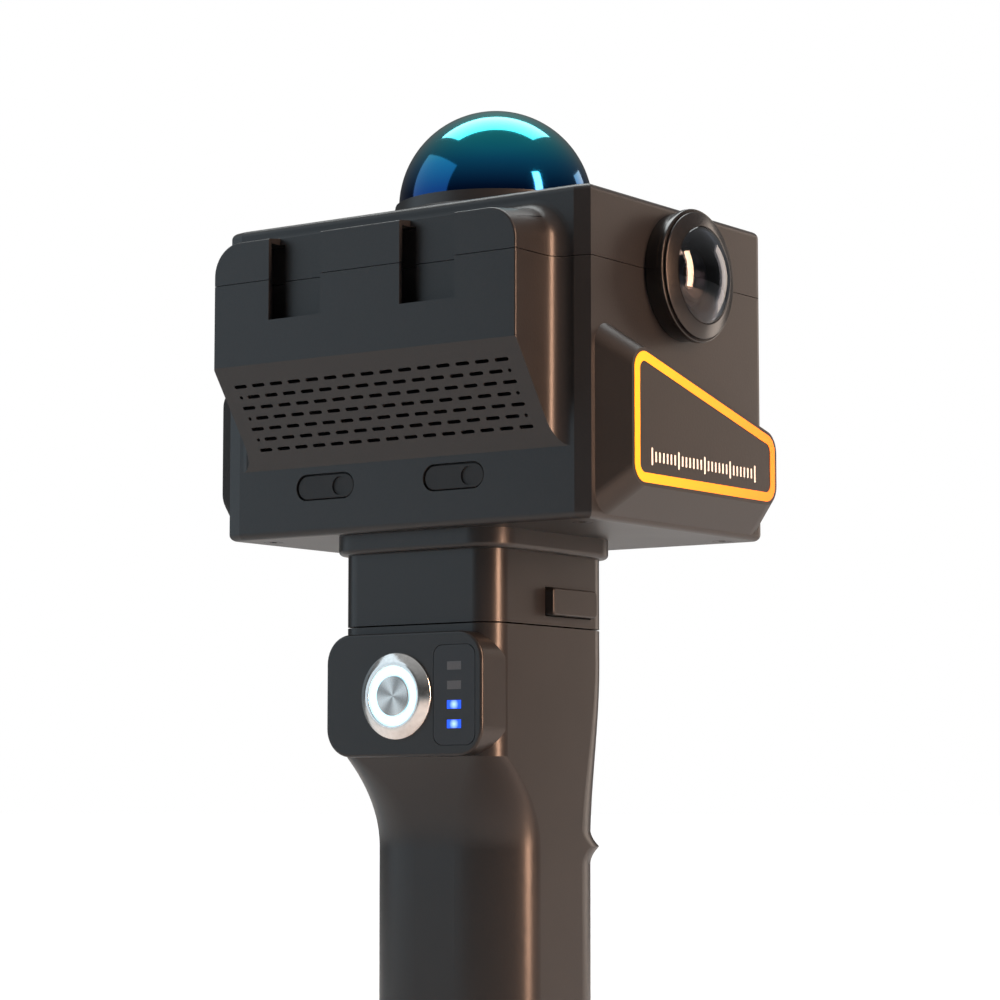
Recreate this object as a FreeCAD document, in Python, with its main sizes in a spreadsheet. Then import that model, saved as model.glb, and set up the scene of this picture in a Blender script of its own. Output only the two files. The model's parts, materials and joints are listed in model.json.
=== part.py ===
import FreeCAD, Part
import math
import os
import re

import Sketcher

# Handheld mobile laser scanner: a box-shaped head with a domed lidar on top and a wide-angle
# camera on each side, carried on a battery handle.
#
# Frame: millimetres, +Z up, +Y forwards (away from the user), +X to the user's right.
# The origin is the mouth of the tripod thread in the bottom of the handle.

# --------------------------------------------------------------------------------------
# Driving sizes. Each can be changed by itself; everything else is worked out from them.
# --------------------------------------------------------------------------------------
SIZES = {
    # handle
    "grip_width": 53.7, "grip_depth": 47.2, "grip_corner": 13, "grip_corner_wide": 20,
    "grip_wall": 3, "handle_height": 139, "neck_depth": 56.8, "neck_corner": 7,
    "cove_height": 25, "rib_height": 78, "rib_stand": 4.6, "rib_size": 10,
    "cap_height": 10, "cap_spigot": 4, "cap_round": 2, "cap_fit": 0.2,
    # rear panel of the handle, with the power button and the charge window
    "panel_stand": 5, "panel_height": 34, "panel_gap": 2.2, "panel_corner": 8,
    "panel_edge": 0.8,
    "button_across": -2, "button_down": 17.4, "bezel_radius": 12, "bezel_stand": 2.2,
    "bezel_lip": 0.6, "barrel_radius": 9.5, "barrel_length": 15, "ring_radius": 8.3,
    "ring_width": 2.7, "ring_sink": 0.5, "cap_gap": 0.08, "press_travel": 1.2,
    "nut_radius": 13, "nut_thick": 2.5, "switch_length": 6,
    "window_across": 17.5, "window_width": 13.9, "window_height": 27.1, "window_corner": 3,
    "window_thick": 1.2, "window_gap": 0.15, "light_width": 4.7, "light_height": 2.3,
    "light_pitch": 5.27,
    # battery
    "cell_radius": 9.1, "cell_length": 65, "cell_gap": 0.6, "cell_lift": 24,
    "frame_thick": 2, "battery_board_thick": 1.6,
    # neck
    "neck_height": 20.5, "neck_wall": 3.5, "flange_height": 5.5, "flange_over": 2.6,
    "flange_corner": 9.5, "flange_edge": 1.4, "neck_seam": 0.4, "cable_hole": 8,
    "tongue_fit": 0.3, "tongue_inset": 6,
    "release_length": 22, "release_height": 7.6, "release_stand": 2.6, "release_gap": 0.3,
    "release_forward": 7.8, "release_corner": 1.2, "release_edge": 0.5, "release_lip": 1.2,
    "release_travel": 1.6,
    "release_drop": 15.2, "spring_radius": 2.4, "spring_wire": 0.5, "spring_turns": 5,
    # head box
    "head_width": 125.5, "head_depth": 90.6, "head_height": 90, "head_forward": 5.65,
    "parting_drop": 19.7, "parting_seam": 0.2, "wall": 2.5, "head_corner": 3.5, "head_edge": 2,
    "bevel_width": 4.7, "bevel_depth": 1.2, "pad_radius": 4.5, "pad_height": 4,
    # hump on the back of the head
    "hump_side": 52.2, "hump_stand": 18.6, "hump_knee": 47, "hump_foot": 19.5,
    "hump_edge_drop": 7.9, "hump_ridge_drop": 5.5, "hump_corner": 9, "cove_radius": 4.8,
    "cove_top": 3, "hump_edge_round": 0.5, "slab_margin": 0.6, "slab_drop": 2,
    "pocket_inner": 13.7, "pocket_width": 18.5, "pocket_drop": 30.9, "pocket_depth": 5,
    "catch_thick": 1.2, "catch_reach": 5, "catch_open": 1.9, "catch_deep": 3,
    "pocket_wall": 2, "catch_roof": 1.2,
    # vent
    "vent_start": 2.5, "vent_width": 97, "vent_length": 28, "slot_length": 4.5,
    "slot_width": 1.1, "slot_pitch": 6.45, "row_pitch": 3.37, "row_start": 6.4,
    "slot_count": 15, "row_count": 7,
    # ports on the back
    "port_height": 13.7, "port_length": 20.7, "port_size": 7.5, "port_left": -26.65,
    "port_right": 18.15, "port_recess": 1.9, "plug_gap": 0.35, "plug_thick": 1.2,
    "plug_sink": 0.4, "plug_edge": 0.35, "plug_boss": 1.4, "dimple_radius": 2.6, "dimple_depth": 0.5,
    "dimple_inset": 4.9, "socket_width": 9.2, "socket_size": 3.4, "socket_depth": 8,
    "socket_skin": 0.6, "boss_play": 0.6,
    # side cameras
    "tube_radius": 14, "tube_bore": 10, "tube_depth": 10, "stand_radius": 17.9,
    "stand_length": 4.3, "rear_ring_radius": 18.6, "rear_ring_thick": 1.8, "groove": 0.3,
    "groove_depth": 0.6, "front_ring_radius": 17.6, "front_ring_lip": 0.4,
    "front_ring_thick": 2.1, "glass_radius": 13.5, "glass_rise": 4.9, "glass_thick": 1.5,
    "cell_ring_radius": 7.2, "cell_step": 2, "element_radius": 3.4,
    "board_side": 24, "board_thick": 1.6,
    # side covers
    "cover_stand": 8.6, "cover_half": 37.4, "cover_low": 9, "cover_high_back": 47.9,
    "cover_high_front": 28.8, "cover_flare": 5, "cover_flare_down": 7.6,
    "cover_flare_up": 5.4, "cover_corner": 6, "cover_wall": 2.2, "stripe_margin": 1,
    "stripe_width": 2.6, "stripe_thick": 0.6, "stripe_proud": 0.1,
    # lidar
    "collar_height": 7.2, "collar_lip": 1, "collar_flare": 7.3, "dome_radius": 28.2,
    "dome_thick": 2, "dome_gap": 0.1, "dome_skirt": 6.2, "gasket_thick": 1,
    "lidar_radius": 23, "lidar_flange_over": 3.8, "lidar_flange_thick": 2.5, "lidar_depth": 18,
    "stator_radius": 13, "stator_bore": 7, "stator_height": 9, "bearing_radius": 6.5,
    "bearing_height": 4, "spindle_radius": 3, "spindle_gap": 0.05, "table_radius": 20,
    "table_thick": 2.5, "table_gap": 1.5, "mirror_width": 20, "mirror_height": 17,
    "mirror_thick": 3, "emitter_radius": 4, "emitter_length": 9, "receiver_radius": 6,
    # inside the head
    "main_board_length": 96, "main_board_depth": 64, "main_board_thick": 1.6,
    "main_board_lift": 8.6, "post_radius": 3, "post_inset": 5, "chip_size": 18,
    "chip_height": 2, "sink_length": 70, "sink_depth": 34, "sink_base": 3, "fin_thick": 1.5,
    "fin_height": 10, "fin_count": 12, "fan_side": 40, "fan_thick": 10, "fan_wall": 2,
    "fan_hub": 9, "fan_gap": 0.6, "blade_count": 7, "blade_thick": 1.2, "fan_pin": 1.5,
    # fasteners and the tripod thread
    "screw_radius": 1.5, "screw_head": 2.8, "screw_head_height": 1.8, "screw_length": 9,
    "screw_inset": 9, "socket_radius": 1.2, "flange_screw_across": 18.5,
    "flange_screw_along": 17, "cap_screw_across": 17, "lug_length": 10, "lug_width": 8,
    "lug_height": 6, "pin_radius": 1, "pin_pitch": 5, "pin_forward": 14,
    "insert_radius": 6, "insert_height": 12, "thread_radius": 2.55, "thread_depth": 9,
    "insert_flange": 8, "insert_flange_thick": 1.5,
}

# Places worked out from the driving sizes, as spreadsheet formulas.
PLACES = {
    "grip_side": "grip_width / 2",
    "grip_front": "grip_depth / 2",
    "grip_back": "-grip_depth / 2",
    "neck_back": "grip_depth / 2 - neck_depth",
    "neck_middle": "grip_depth / 2 - neck_depth / 2",
    "panel_face": "neck_back - panel_stand",
    "panel_top": "handle_height - panel_gap",
    "panel_bottom": "panel_top - panel_height",
    "button_height": "panel_top - button_down",
    "head_bottom": "handle_height + neck_height + flange_height",
    "neck_top": "handle_height + neck_height",
    "head_top": "head_bottom + head_height",
    "head_side": "head_width / 2",
    "head_back": "head_forward - head_depth / 2",
    "head_front": "head_forward + head_depth / 2",
    "parting": "head_top - parting_drop",
    "hump_back": "head_back - hump_stand",
    "slab_side": "hump_side + cove_radius + slab_margin",
    "knee": "head_bottom + hump_knee",
    "foot": "head_bottom + hump_foot",
    "hump_edge": "head_top - hump_edge_drop",
    "hump_ridge": "head_top - hump_ridge_drop",
    "slope_length": "sqrt(hump_stand ^ 2 + (hump_knee - hump_foot) ^ 2)",
    "slope_run": "wall * slope_length / (hump_knee - hump_foot)",
    "slope_rise": "wall * slope_length / hump_stand",
    "collar_top": "head_top + collar_height",
    "lidar_rim": "dome_radius - dome_thick + lidar_flange_over",
    "collar_radius": "dome_radius + collar_lip",
    "collar_foot": "dome_radius + collar_flare",
    "release_middle": "head_bottom - release_drop - release_height / 2",
    "board_bottom": "head_bottom + main_board_lift",
    "board_top": "board_bottom + main_board_thick",
    "port_middle": "head_bottom + port_height",
    "fan_middle": "board_top + fan_side / 2",
    "fan_back": "head_back + port_recess + socket_depth + 0.5",
    "cap_seat": "cap_height - screw_head_height",
}

NAME = re.compile(r"[a-z_][a-z_0-9]*")
FUNCTIONS = {"sqrt", "sin", "cos", "tan", "atan"}

doc = FreeCAD.newDocument("laser_scanner")
SUB_PARTS = []


def bound(formula):
    """The same formula with each name led by its sheet, as an expression needs it."""
    def lead(match):
        name = match.group()
        if name in FUNCTIONS:
            return name
        return ("sizes." if name in SIZES else "places.") + name
    return NAME.sub(lead, formula)


def make_sheets():
    """The two spreadsheets: driving sizes as plain numbers, and places as formulas."""
    sizes = doc.addObject("Spreadsheet::Sheet", "sizes")
    for row, (name, value) in enumerate(SIZES.items(), start=1):
        sizes.set("A%d" % row, name.replace("_", " "))
        sizes.set("B%d" % row, str(value))
        sizes.setAlias("B%d" % row, name)
    doc.recompute()
    places = doc.addObject("Spreadsheet::Sheet", "places")
    for row, (name, formula) in enumerate(PLACES.items(), start=1):
        places.set("A%d" % row, name.replace("_", " "))
        places.setAlias("B%d" % row, name)
    for row, (name, formula) in enumerate(PLACES.items(), start=1):
        own = bound(formula).replace("places.", "")
        places.set("B%d" % row, "=" + own)
    doc.recompute()
    return sizes, places


SIZE_SHEET, PLACE_SHEET = make_sheets()


def read(name):
    """A size or a place, as a number, from its sheet."""
    sheet = SIZE_SHEET if name in SIZES else PLACE_SHEET
    return float(sheet.get(name))


# --------------------------------------------------------------------------------------
# Small helpers, each of which makes one object of the document.
# --------------------------------------------------------------------------------------
def free_name(stem):
    """A name for a helper object that no other object has."""
    return "%s_%d" % (stem, len(doc.Objects))


def seat(thing, at):
    """Binds a thing's position to three formulas."""
    for axis, formula in zip("xyz", at):
        thing.setExpression("Placement.Base." + axis, bound(formula))


TURN = {
    "+Z": FreeCAD.Rotation(),
    "-Z": FreeCAD.Rotation(FreeCAD.Vector(1, 0, 0), 180),
    "+X": FreeCAD.Rotation(FreeCAD.Vector(0, 1, 0), 90),
    "-X": FreeCAD.Rotation(FreeCAD.Vector(0, 1, 0), -90),
    "+Y": FreeCAD.Rotation(FreeCAD.Vector(1, 0, 0), -90),
    "-Y": FreeCAD.Rotation(FreeCAD.Vector(1, 0, 0), 90),
}


def block(xs, ys, zs):
    """A box between low and high formulas along X, Y and Z."""
    thing = doc.addObject("Part::Box", free_name("block"))
    for side, (low, high) in zip(("Length", "Width", "Height"), (xs, ys, zs)):
        thing.setExpression(side, bound("(%s) - (%s)" % (high, low)))
    seat(thing, (xs[0], ys[0], zs[0]))
    return thing


def rod(radius, length, at, axis="+Z"):
    """A cylinder that starts at a point and runs along an axis."""
    thing = doc.addObject("Part::Cylinder", free_name("rod"))
    thing.setExpression("Radius", bound(radius))
    thing.setExpression("Height", bound(length))
    thing.Placement = FreeCAD.Placement(FreeCAD.Vector(), TURN[axis])
    seat(thing, at)
    return thing


def ball(radius, at):
    thing = doc.addObject("Part::Sphere", free_name("ball"))
    thing.setExpression("Radius", bound(radius))
    seat(thing, at)
    return thing


def join(*things):
    thing = doc.addObject("Part::MultiFuse", free_name("join"))
    thing.Shapes = list(things)
    thing.Refine = True
    return thing


def cut(base, *tools):
    thing = doc.addObject("Part::Cut", free_name("cut"))
    thing.Base = base
    thing.Tool = tools[0] if len(tools) == 1 else join(*tools)
    thing.Refine = True
    return thing


def common(first, second):
    thing = doc.addObject("Part::Common", free_name("common"))
    thing.Base = first
    thing.Tool = second
    thing.Refine = True
    return thing


def group(*things):
    """Separate solids that share one node."""
    thing = doc.addObject("Part::Compound", free_name("group"))
    thing.Links = list(things)
    return thing


def shaped(shape):
    """A piece whose shape is made with Part's own functions from sizes in the sheets."""
    thing = doc.addObject("Part::Feature", free_name("shaped"))
    thing.Shape = shape
    thing.Placement = FreeCAD.Placement()
    return thing


def own_plane(body, role):
    for feature in body.Origin.OriginFeatures:
        if feature.Role == role:
            return feature
    raise ValueError("no plane " + role)


def new_body(stem):
    return doc.addObject("PartDesign::Body", free_name(stem))


def new_sketch(body, role, offset="0"):
    """An empty sketch on one of the body's own planes, moved along the plane's normal."""
    sketch = body.newObject("Sketcher::SketchObject", free_name("sketch"))
    sketch.AttachmentSupport = [(own_plane(body, role), "")]
    sketch.MapMode = "FlatFace"
    sketch.setExpression("AttachmentOffset.Base.z", bound(offset))
    return sketch


def worth(formula):
    """What a formula comes to now, so that a sketch is drawn where its pins will hold it."""
    return float(doc.getObject("places").evalExpression(bound(formula)))


def pin_point(sketch, shape, which, across, up):
    """Holds a point of a sketch at two formulas from the sketch's origin."""
    for kind, formula in (("DistanceX", across), ("DistanceY", up)):
        pin = Sketcher.Constraint(kind, -1, 1, shape, which, worth(formula))
        row = sketch.addConstraint(pin)
        sketch.setExpression("Constraints[%d]" % row, bound(formula))


def draw_outline(sketch, outline):
    """A closed outline of straight lines through points given as pairs of formulas."""
    count = len(outline)
    start = [FreeCAD.Vector(worth(across), worth(up), 0) for across, up in outline]
    for i in range(count):
        sketch.addGeometry(Part.LineSegment(start[i], start[(i + 1) % count]))
    for i in range(count):
        sketch.addConstraint(Sketcher.Constraint("Coincident", i, 2, (i + 1) % count, 1))
    for i, (across, up) in enumerate(outline):
        pin_point(sketch, i, 1, across, up)


def draw_slot(sketch, across, up, length, width):
    """A slot with round ends, lying along the sketch's first axis."""
    reach = "((%s) - (%s)) / 2" % (length, width)
    middle, radius = FreeCAD.Vector(worth(across), worth(up), 0), worth(width) / 2
    left, right = (middle + FreeCAD.Vector(sign * worth(reach), 0, 0) for sign in (-1, 1))
    lift = FreeCAD.Vector(0, radius, 0)
    up_axis = FreeCAD.Vector(0, 0, 1)
    quarter = math.pi / 2
    sketch.addGeometry(Part.ArcOfCircle(Part.Circle(left, up_axis, radius), quarter, 3 * quarter))
    sketch.addGeometry(Part.LineSegment(left - lift, right - lift))
    sketch.addGeometry(Part.ArcOfCircle(Part.Circle(right, up_axis, radius), -quarter, quarter))
    sketch.addGeometry(Part.LineSegment(right + lift, left + lift))
    for i in range(4):
        sketch.addConstraint(Sketcher.Constraint("Tangent", i, 2, (i + 1) % 4, 1))
    sketch.addConstraint(Sketcher.Constraint("Equal", 0, 2))
    row = sketch.addConstraint(Sketcher.Constraint("Radius", 0, radius))
    sketch.setExpression("Constraints[%d]" % row, bound("(%s) / 2" % width))
    pin_point(sketch, 0, 3, "(%s) - %s" % (across, reach), up)
    pin_point(sketch, 2, 3, "(%s) + %s" % (across, reach), up)


def edge_names(shape, keep):
    """Names of the edges whose two ends both pass a test."""
    names = []
    for number, edge in enumerate(shape.Edges, start=1):
        ends = [vertex.Point for vertex in edge.Vertexes]
        if len(ends) == 2 and keep(ends[0], ends[1]):
            names.append("Edge%d" % number)
    return names


def round_off(body, base, radius, keep):
    """A PartDesign fillet on the edges that pass a test."""
    fillet = body.newObject("PartDesign::Fillet", free_name("fillet"))
    fillet.Base = (base, edge_names(base.Shape, keep))
    fillet.setExpression("Radius", bound(radius))
    doc.recompute()
    return fillet


def near(first, second):
    return abs(first - second) < 1e-4


PLANES = {"XY": ("XY_Plane", 1), "XZ": ("XZ_Plane", -1), "YZ": ("YZ_Plane", 1)}


def prism(plane, outline, low, high, corners=None):
    """A padded outline. corners maps a radius to the outline points that it rounds.

    The outline is in the plane's two row axes, in X, Y, Z order, and the pad runs from low
    to high along the third.
    """
    role, sense = PLANES[plane]
    body = new_body("prism")
    sketch = new_sketch(body, role, low if sense > 0 else "-(%s)" % high)
    draw_outline(sketch, outline)
    pad = body.newObject("PartDesign::Pad", free_name("pad"))
    pad.Profile = sketch
    pad.setExpression("Length", bound("(%s) - (%s)" % (high, low)))
    doc.recompute()
    last = pad
    for radius, numbers in (corners or {}).items():
        lines = [sketch.Geometry[i].StartPoint for i in numbers]
        lines = [sketch.Placement.multVec(point) for point in lines]
        away = sketch.Placement.Rotation.multVec(FreeCAD.Vector(0, 0, 1))

        def on_line(a, b):
            return any((a - p).cross(away).Length < 1e-4 and (b - p).cross(away).Length < 1e-4
                       for p in lines)
        last = round_off(body, last, radius, on_line)
    return body


def turned(profile, at, axis="+Z"):
    """A piece turned about its axis from a profile of (radius, height) formulas."""
    body = new_body("turned")
    sketch = new_sketch(body, "XZ_Plane")
    draw_outline(sketch, profile)
    turn = body.newObject("PartDesign::Revolution", free_name("turn"))
    turn.Profile = sketch
    turn.ReferenceAxis = (sketch, ["V_Axis"])
    turn.Angle = 360
    doc.recompute()
    body.Placement = FreeCAD.Placement(FreeCAD.Vector(), TURN[axis])
    seat(body, at)
    return body


def rectangle(low_u, high_u, low_v, high_v):
    return [(low_u, low_v), (high_u, low_v), (high_u, high_v), (low_u, high_v)]


def node(label, thing):
    """Names a finished sub-part; the name is also its file's name."""
    thing.Label = label
    SUB_PARTS.append(thing)
    return thing


def rounded_wire(points, radius):
    """A closed wire of lines through points, with every corner rounded."""
    count = len(points)
    starts, ends, middles = [], [], []
    for i, corner in enumerate(points):
        back = (points[i - 1] - corner).normalize()
        ahead = (points[(i + 1) % count] - corner).normalize()
        half = math.acos(max(-1.0, min(1.0, back.dot(ahead)))) / 2
        reach = radius / math.tan(half)
        centre_way = (back + ahead).normalize()
        middle = corner + centre_way * (radius / math.sin(half) - radius)
        starts.append(corner + back * reach)
        ends.append(corner + ahead * reach)
        middles.append(middle)
    edges = []
    for i in range(count):
        edges.append(Part.Arc(starts[i], middles[i], ends[i]).toShape())
        edges.append(Part.LineSegment(ends[i], starts[(i + 1) % count]).toShape())
    return Part.Wire(edges)


# --------------------------------------------------------------------------------------
# Handle
# --------------------------------------------------------------------------------------
def quarter(start, corner, end):
    """A quarter of an ellipse that leaves start and reaches end, both aimed at the corner."""
    curve = Part.BSplineCurve()
    curve.buildFromPolesMultsKnots([start, corner, end], [3, 3], [0, 1], False, 2,
                                   [1, math.sqrt(0.5), 1])
    return curve.toShape()


def handle_section(height, back, near_wide, near_deep, far):
    """The handle's section at a height: a rectangle with its own near and far corners."""
    side, front = read("grip_side"), read("grip_front")
    spots = [(-side, back, near_wide, near_deep), (side, back, near_wide, near_deep),
             (side, front, far, far), (-side, front, far, far)]
    rounds = []
    for number, (x, y, wide, deep) in enumerate(spots):
        along_x = FreeCAD.Vector(math.copysign(x - math.copysign(wide, x), x), y, height)
        along_y = FreeCAD.Vector(x, y + (deep if y < 0 else -deep), height)
        ends = (along_y, along_x) if number % 2 == 0 else (along_x, along_y)
        rounds.append((ends[0], FreeCAD.Vector(x, y, height), ends[1]))
    edges = []
    for number, ends in enumerate(rounds):
        edges.append(quarter(*ends))
        edges.append(Part.LineSegment(ends[2], rounds[(number + 1) % 4][0]).toShape())
    return Part.Wire(edges)


def opening_out(height):
    """How far the far corners have opened from the neck's radius to the grip's."""
    top = read("handle_height") - read("rib_size")
    low = read("rib_height")
    share = min(1.0, max(0.0, (top - height) / (top - low)))
    return share * share * (3 - 2 * share)


def far_corner_at(height):
    grown = read("grip_corner") + 1 - read("neck_corner")
    return read("neck_corner") + grown * opening_out(height)


def handle_shape():
    """The handle outside: an upper block, a cove below the panel, then the straight grip."""
    top, panel_low = read("handle_height"), read("panel_bottom")
    cove, back = read("cove_height"), read("grip_back")
    step = back - read("neck_back")
    neck, deep, wide = read("neck_corner"), read("grip_corner"), read("grip_corner_wide")
    upper = []
    for i in range(7):
        height = top + (panel_low - top) * i / 6
        upper.append(handle_section(height, back - step, neck, neck, far_corner_at(height)))
    lower = []
    for i in range(8):
        share = i / 7
        height = panel_low - cove * share
        fade = (1 - share) ** 2
        lower.append(handle_section(height, back - step * fade, wide + (neck - wide) * fade,
                                    deep + (neck - deep) * fade, far_corner_at(height)))
    cove_end = panel_low - cove
    grip_low = read("cap_height")
    grip = handle_section(cove_end, back, wide, deep, far_corner_at(cove_end))
    straight = Part.Face(grip).extrude(FreeCAD.Vector(0, 0, grip_low - cove_end))
    shape = Part.makeLoft(upper, True).fuse([Part.makeLoft(lower, True), straight])
    return shape.removeSplitter()


def finger_rib():
    """A pointed rib round the front of the grip, faired into it above and below."""
    half, stand = read("rib_size") / 2, read("rib_stand")
    side, front, middle = read("grip_side"), read("grip_front"), read("rib_height")
    far = far_corner_at(middle)
    halves = []
    for way in (-1, 1):
        wires = []
        for share in (0.0, 0.06, 0.25, 0.5, 0.75, 1.0):
            reach = front + stand * (1 - share) ** 2 - 0.4 * stand * max(0, 0.06 - share)
            height = middle + way * half * share
            base = [FreeCAD.Vector(x, y, height) for x, y in (
                (side, 0), (side, reach - far), (side, reach), (side - far, reach),
                (far - side, reach), (-side, reach), (-side, reach - far), (-side, 0))]
            wires.append(Part.Wire([
                Part.LineSegment(base[0], base[1]).toShape(), quarter(*base[1:4]),
                Part.LineSegment(base[3], base[4]).toShape(), quarter(*base[4:7]),
                Part.LineSegment(base[6], base[7]).toShape(),
                Part.LineSegment(base[7], base[0]).toShape()]))
        halves.append(Part.makeLoft(wires, True))
    return shaped(halves[0].fuse(halves[1]))


def handle_cavity():
    """The battery bay, open at the bottom, and the smaller space behind the panel."""
    back, front = "grip_back + grip_wall", "grip_front - grip_wall"
    side = "grip_side - grip_wall"
    bay = prism("XY", rectangle("-(%s)" % side, side, back, front),
                "cap_height - 1", "panel_bottom", {"grip_corner - grip_wall": [0, 1, 2, 3]})
    upper = block(("-(%s)" % side, side), ("neck_back + 2 * grip_wall", front + " - 4"),
                  ("panel_bottom - 1", "handle_height - grip_wall"))
    wires = rod("cable_hole", "2 * grip_wall",
                ("0", "neck_middle", "handle_height - 1.5 * grip_wall"))
    return join(bay, upper, wires)


def window_recess(growth, depth):
    """The rounded oblong of the charge window, with its edge moved out by a growth."""
    half = "window_width / 2 + (%s)" % growth
    tall = "window_height / 2 + (%s)" % growth
    outline = rectangle("window_across - (%s)" % half, "window_across + (%s)" % half,
                        "button_height - (%s)" % tall, "button_height + (%s)" % tall)
    return prism("XZ", outline, "panel_face", "panel_face + (%s)" % depth,
                 {"window_corner": [0, 1, 2, 3]})


def make_handle():
    plate = prism("XZ", rectangle("-grip_side", "grip_side", "panel_bottom", "panel_top"),
                  "panel_face", "neck_back + 2 * grip_wall", {"panel_corner": [0, 1, 2, 3]})
    face = read("panel_face")
    round_off(plate, plate.Tip, "panel_edge", lambda a, b: near(a.y, face) and near(b.y, face))
    outside = join(shaped(handle_shape()), plate, finger_rib())
    bore = rod("barrel_radius", "panel_stand + 4 * grip_wall",
               ("button_across", "panel_face - 1", "button_height"), "+Y")
    recess = window_recess("window_gap", "window_thick")
    hollow = cut(outside, handle_cavity(), bore, recess)
    node("handle_shell", join(hollow, *screw_lugs()))


def screw_lugs():
    """A lug on each side wall of the bay, into which a screw of the bottom cap threads."""
    low = "cap_height + cap_spigot"
    lugs = []
    for sign in ("", "-"):
        inner, outer = "(grip_side - lug_length)", "(grip_side - grip_wall / 2)"
        ends = (inner, outer) if not sign else ("-" + outer, "-" + inner)
        lug = block(ends, ("-lug_width / 2", "lug_width / 2"), (low, low + " + lug_height"))
        hole = rod("screw_radius", "lug_height", (sign + "cap_screw_across", "0", low + " - 1"))
        lugs.append(cut(lug, hole))
    return lugs


def light_pads(numbers, low, high, growth="0"):
    """Oblong blocks at the places of some of the four charge lights, counted from the top."""
    pads = []
    for number in numbers:
        middle = "button_height + light_pitch * %s" % (1.5 - number)
        pads.append(block(
            ("window_across - light_width / 2 - (%s)" % growth,
             "window_across + light_width / 2 + (%s)" % growth), (low, high),
            (middle + " - light_height / 2 - (%s)" % growth,
             middle + " + light_height / 2 + (%s)" % growth)))
    return pads


def make_charge_window():
    face = "panel_face + window_thick"
    pane = window_recess("0", "window_thick")
    openings = light_pads(range(4), "panel_face - 1", face + " + 1")
    node("charge_window", cut(pane, *openings))
    node("charge_lights_unlit", group(*light_pads((0, 1), "panel_face", face)))
    node("charge_lights_lit", group(*light_pads((2, 3), "panel_face", face)))


def make_power_button():
    """A metal push button: bezel and barrel, light ring, moving cap, nut and switch."""
    at = ("button_across", "panel_face", "button_height")
    inner = "ring_radius - ring_width"
    node("power_button_bezel", turned([
        ("ring_radius", "0 - barrel_length"), ("barrel_radius", "0 - barrel_length"),
        ("barrel_radius", "0"), ("bezel_radius", "0"), ("bezel_radius", "bezel_lip"),
        ("ring_radius + 1", "bezel_stand"), ("ring_radius", "bezel_stand")], at, "-Y"))
    node("power_light_ring", turned([
        (inner, "0 - bezel_stand"), ("ring_radius", "0 - bezel_stand"),
        ("ring_radius", "bezel_stand - ring_sink"), (inner, "bezel_stand - ring_sink")], at, "-Y"))
    cap = "%s - cap_gap" % inner
    stem = "switch_length - barrel_length + press_travel + 0.3"
    node("power_button_cap", turned([
        ("0", stem), ("ring_width", stem), ("ring_width", "0 - bezel_stand"),
        (cap, "0 - bezel_stand"), (cap, "bezel_stand - 0.3"), (cap + " - 0.3", "bezel_stand"),
        ("0", "bezel_stand")], at, "-Y"))
    node("power_button_nut", turned([
        ("barrel_radius", "0"), ("nut_radius", "0"), ("nut_radius", "nut_thick"),
        ("barrel_radius", "nut_thick")],
        ("button_across", "neck_back + 2 * grip_wall", "button_height"), "+Y"))
    node("power_switch_body", turned([
        ("0", "0"), ("ring_radius", "0"), ("ring_radius", "switch_length"),
        ("2", "switch_length"), ("2", "switch_length + 1.5"), ("0", "switch_length + 1.5")],
        ("button_across", "panel_face + barrel_length - switch_length", "button_height"), "+Y"))


def make_battery():
    """Four round cells in a frame of two end plates, with the battery's own board on top."""
    step = "(cell_radius + cell_gap / 2)"
    places = [(sx + step, sy + step) for sx in ("", "-") for sy in ("", "-")]
    node("battery_cells", group(*[rod("cell_radius", "cell_length", (x, y, "cell_lift"))
                                  for x, y in places]))
    reach = "2 * cell_radius + cell_gap"
    corners = {"cell_radius": [0, 1, 2, 3]}
    plate = rectangle("-(%s)" % reach, reach, "-(%s)" % reach, reach)
    top = "cell_lift + cell_length"
    node("battery_frame", group(
        prism("XY", plate, "cell_lift - frame_thick", "cell_lift", corners),
        prism("XY", plate, top, top + " + frame_thick", corners)))
    shelf = top + " + frame_thick"
    node("battery_board", prism("XY", plate, shelf, shelf + " + battery_board_thick", corners))


def make_handle_cap():
    """The bottom cap with its threaded insert and two screws."""
    low, edge = read("cap_height"), read("cap_round")
    radius = read("grip_corner")
    section = handle_section(0, read("grip_back"), read("grip_corner_wide"), radius,
                             far_corner_at(0))
    slab = Part.Face(section).extrude(FreeCAD.Vector(0, 0, low))
    lowest = [edge_ for edge_ in slab.Edges if edge_.BoundBox.ZMax < 1e-6]
    foot = shaped(slab.makeFillet(edge, lowest))
    side = "grip_side - grip_wall - cap_fit"
    spigot = prism("XY", rectangle("-(%s)" % side, side, "grip_back + grip_wall + cap_fit",
                                   "grip_front - grip_wall - cap_fit"),
                   "cap_height - 1", "cap_height + cap_spigot",
                   {"grip_corner - grip_wall": [0, 1, 2, 3]})
    bore = rod("insert_radius", "cap_height + cap_spigot + 2", ("0", "0", "-1"))
    seat_ring = rod("insert_flange", "insert_flange_thick", ("0", "0", "0"))
    holes = []
    for sign in ("", "-"):
        at = sign + "cap_screw_across"
        holes.append(rod("screw_radius", "cap_height + cap_spigot + 2", (at, "0", "-1")))
        holes.append(rod("screw_head", "cap_seat + 1", (at, "0", "-1")))
    node("handle_cap", cut(join(foot, spigot), bore, seat_ring, *holes))
    node("tripod_insert", turned([
        ("thread_radius", "0"), ("insert_flange", "0"), ("insert_flange", "insert_flange_thick"),
        ("insert_radius", "insert_flange_thick"), ("insert_radius", "insert_height"),
        ("0", "insert_height"), ("0", "thread_depth"), ("thread_radius", "thread_depth")],
        ("0", "0", "0")))


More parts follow.
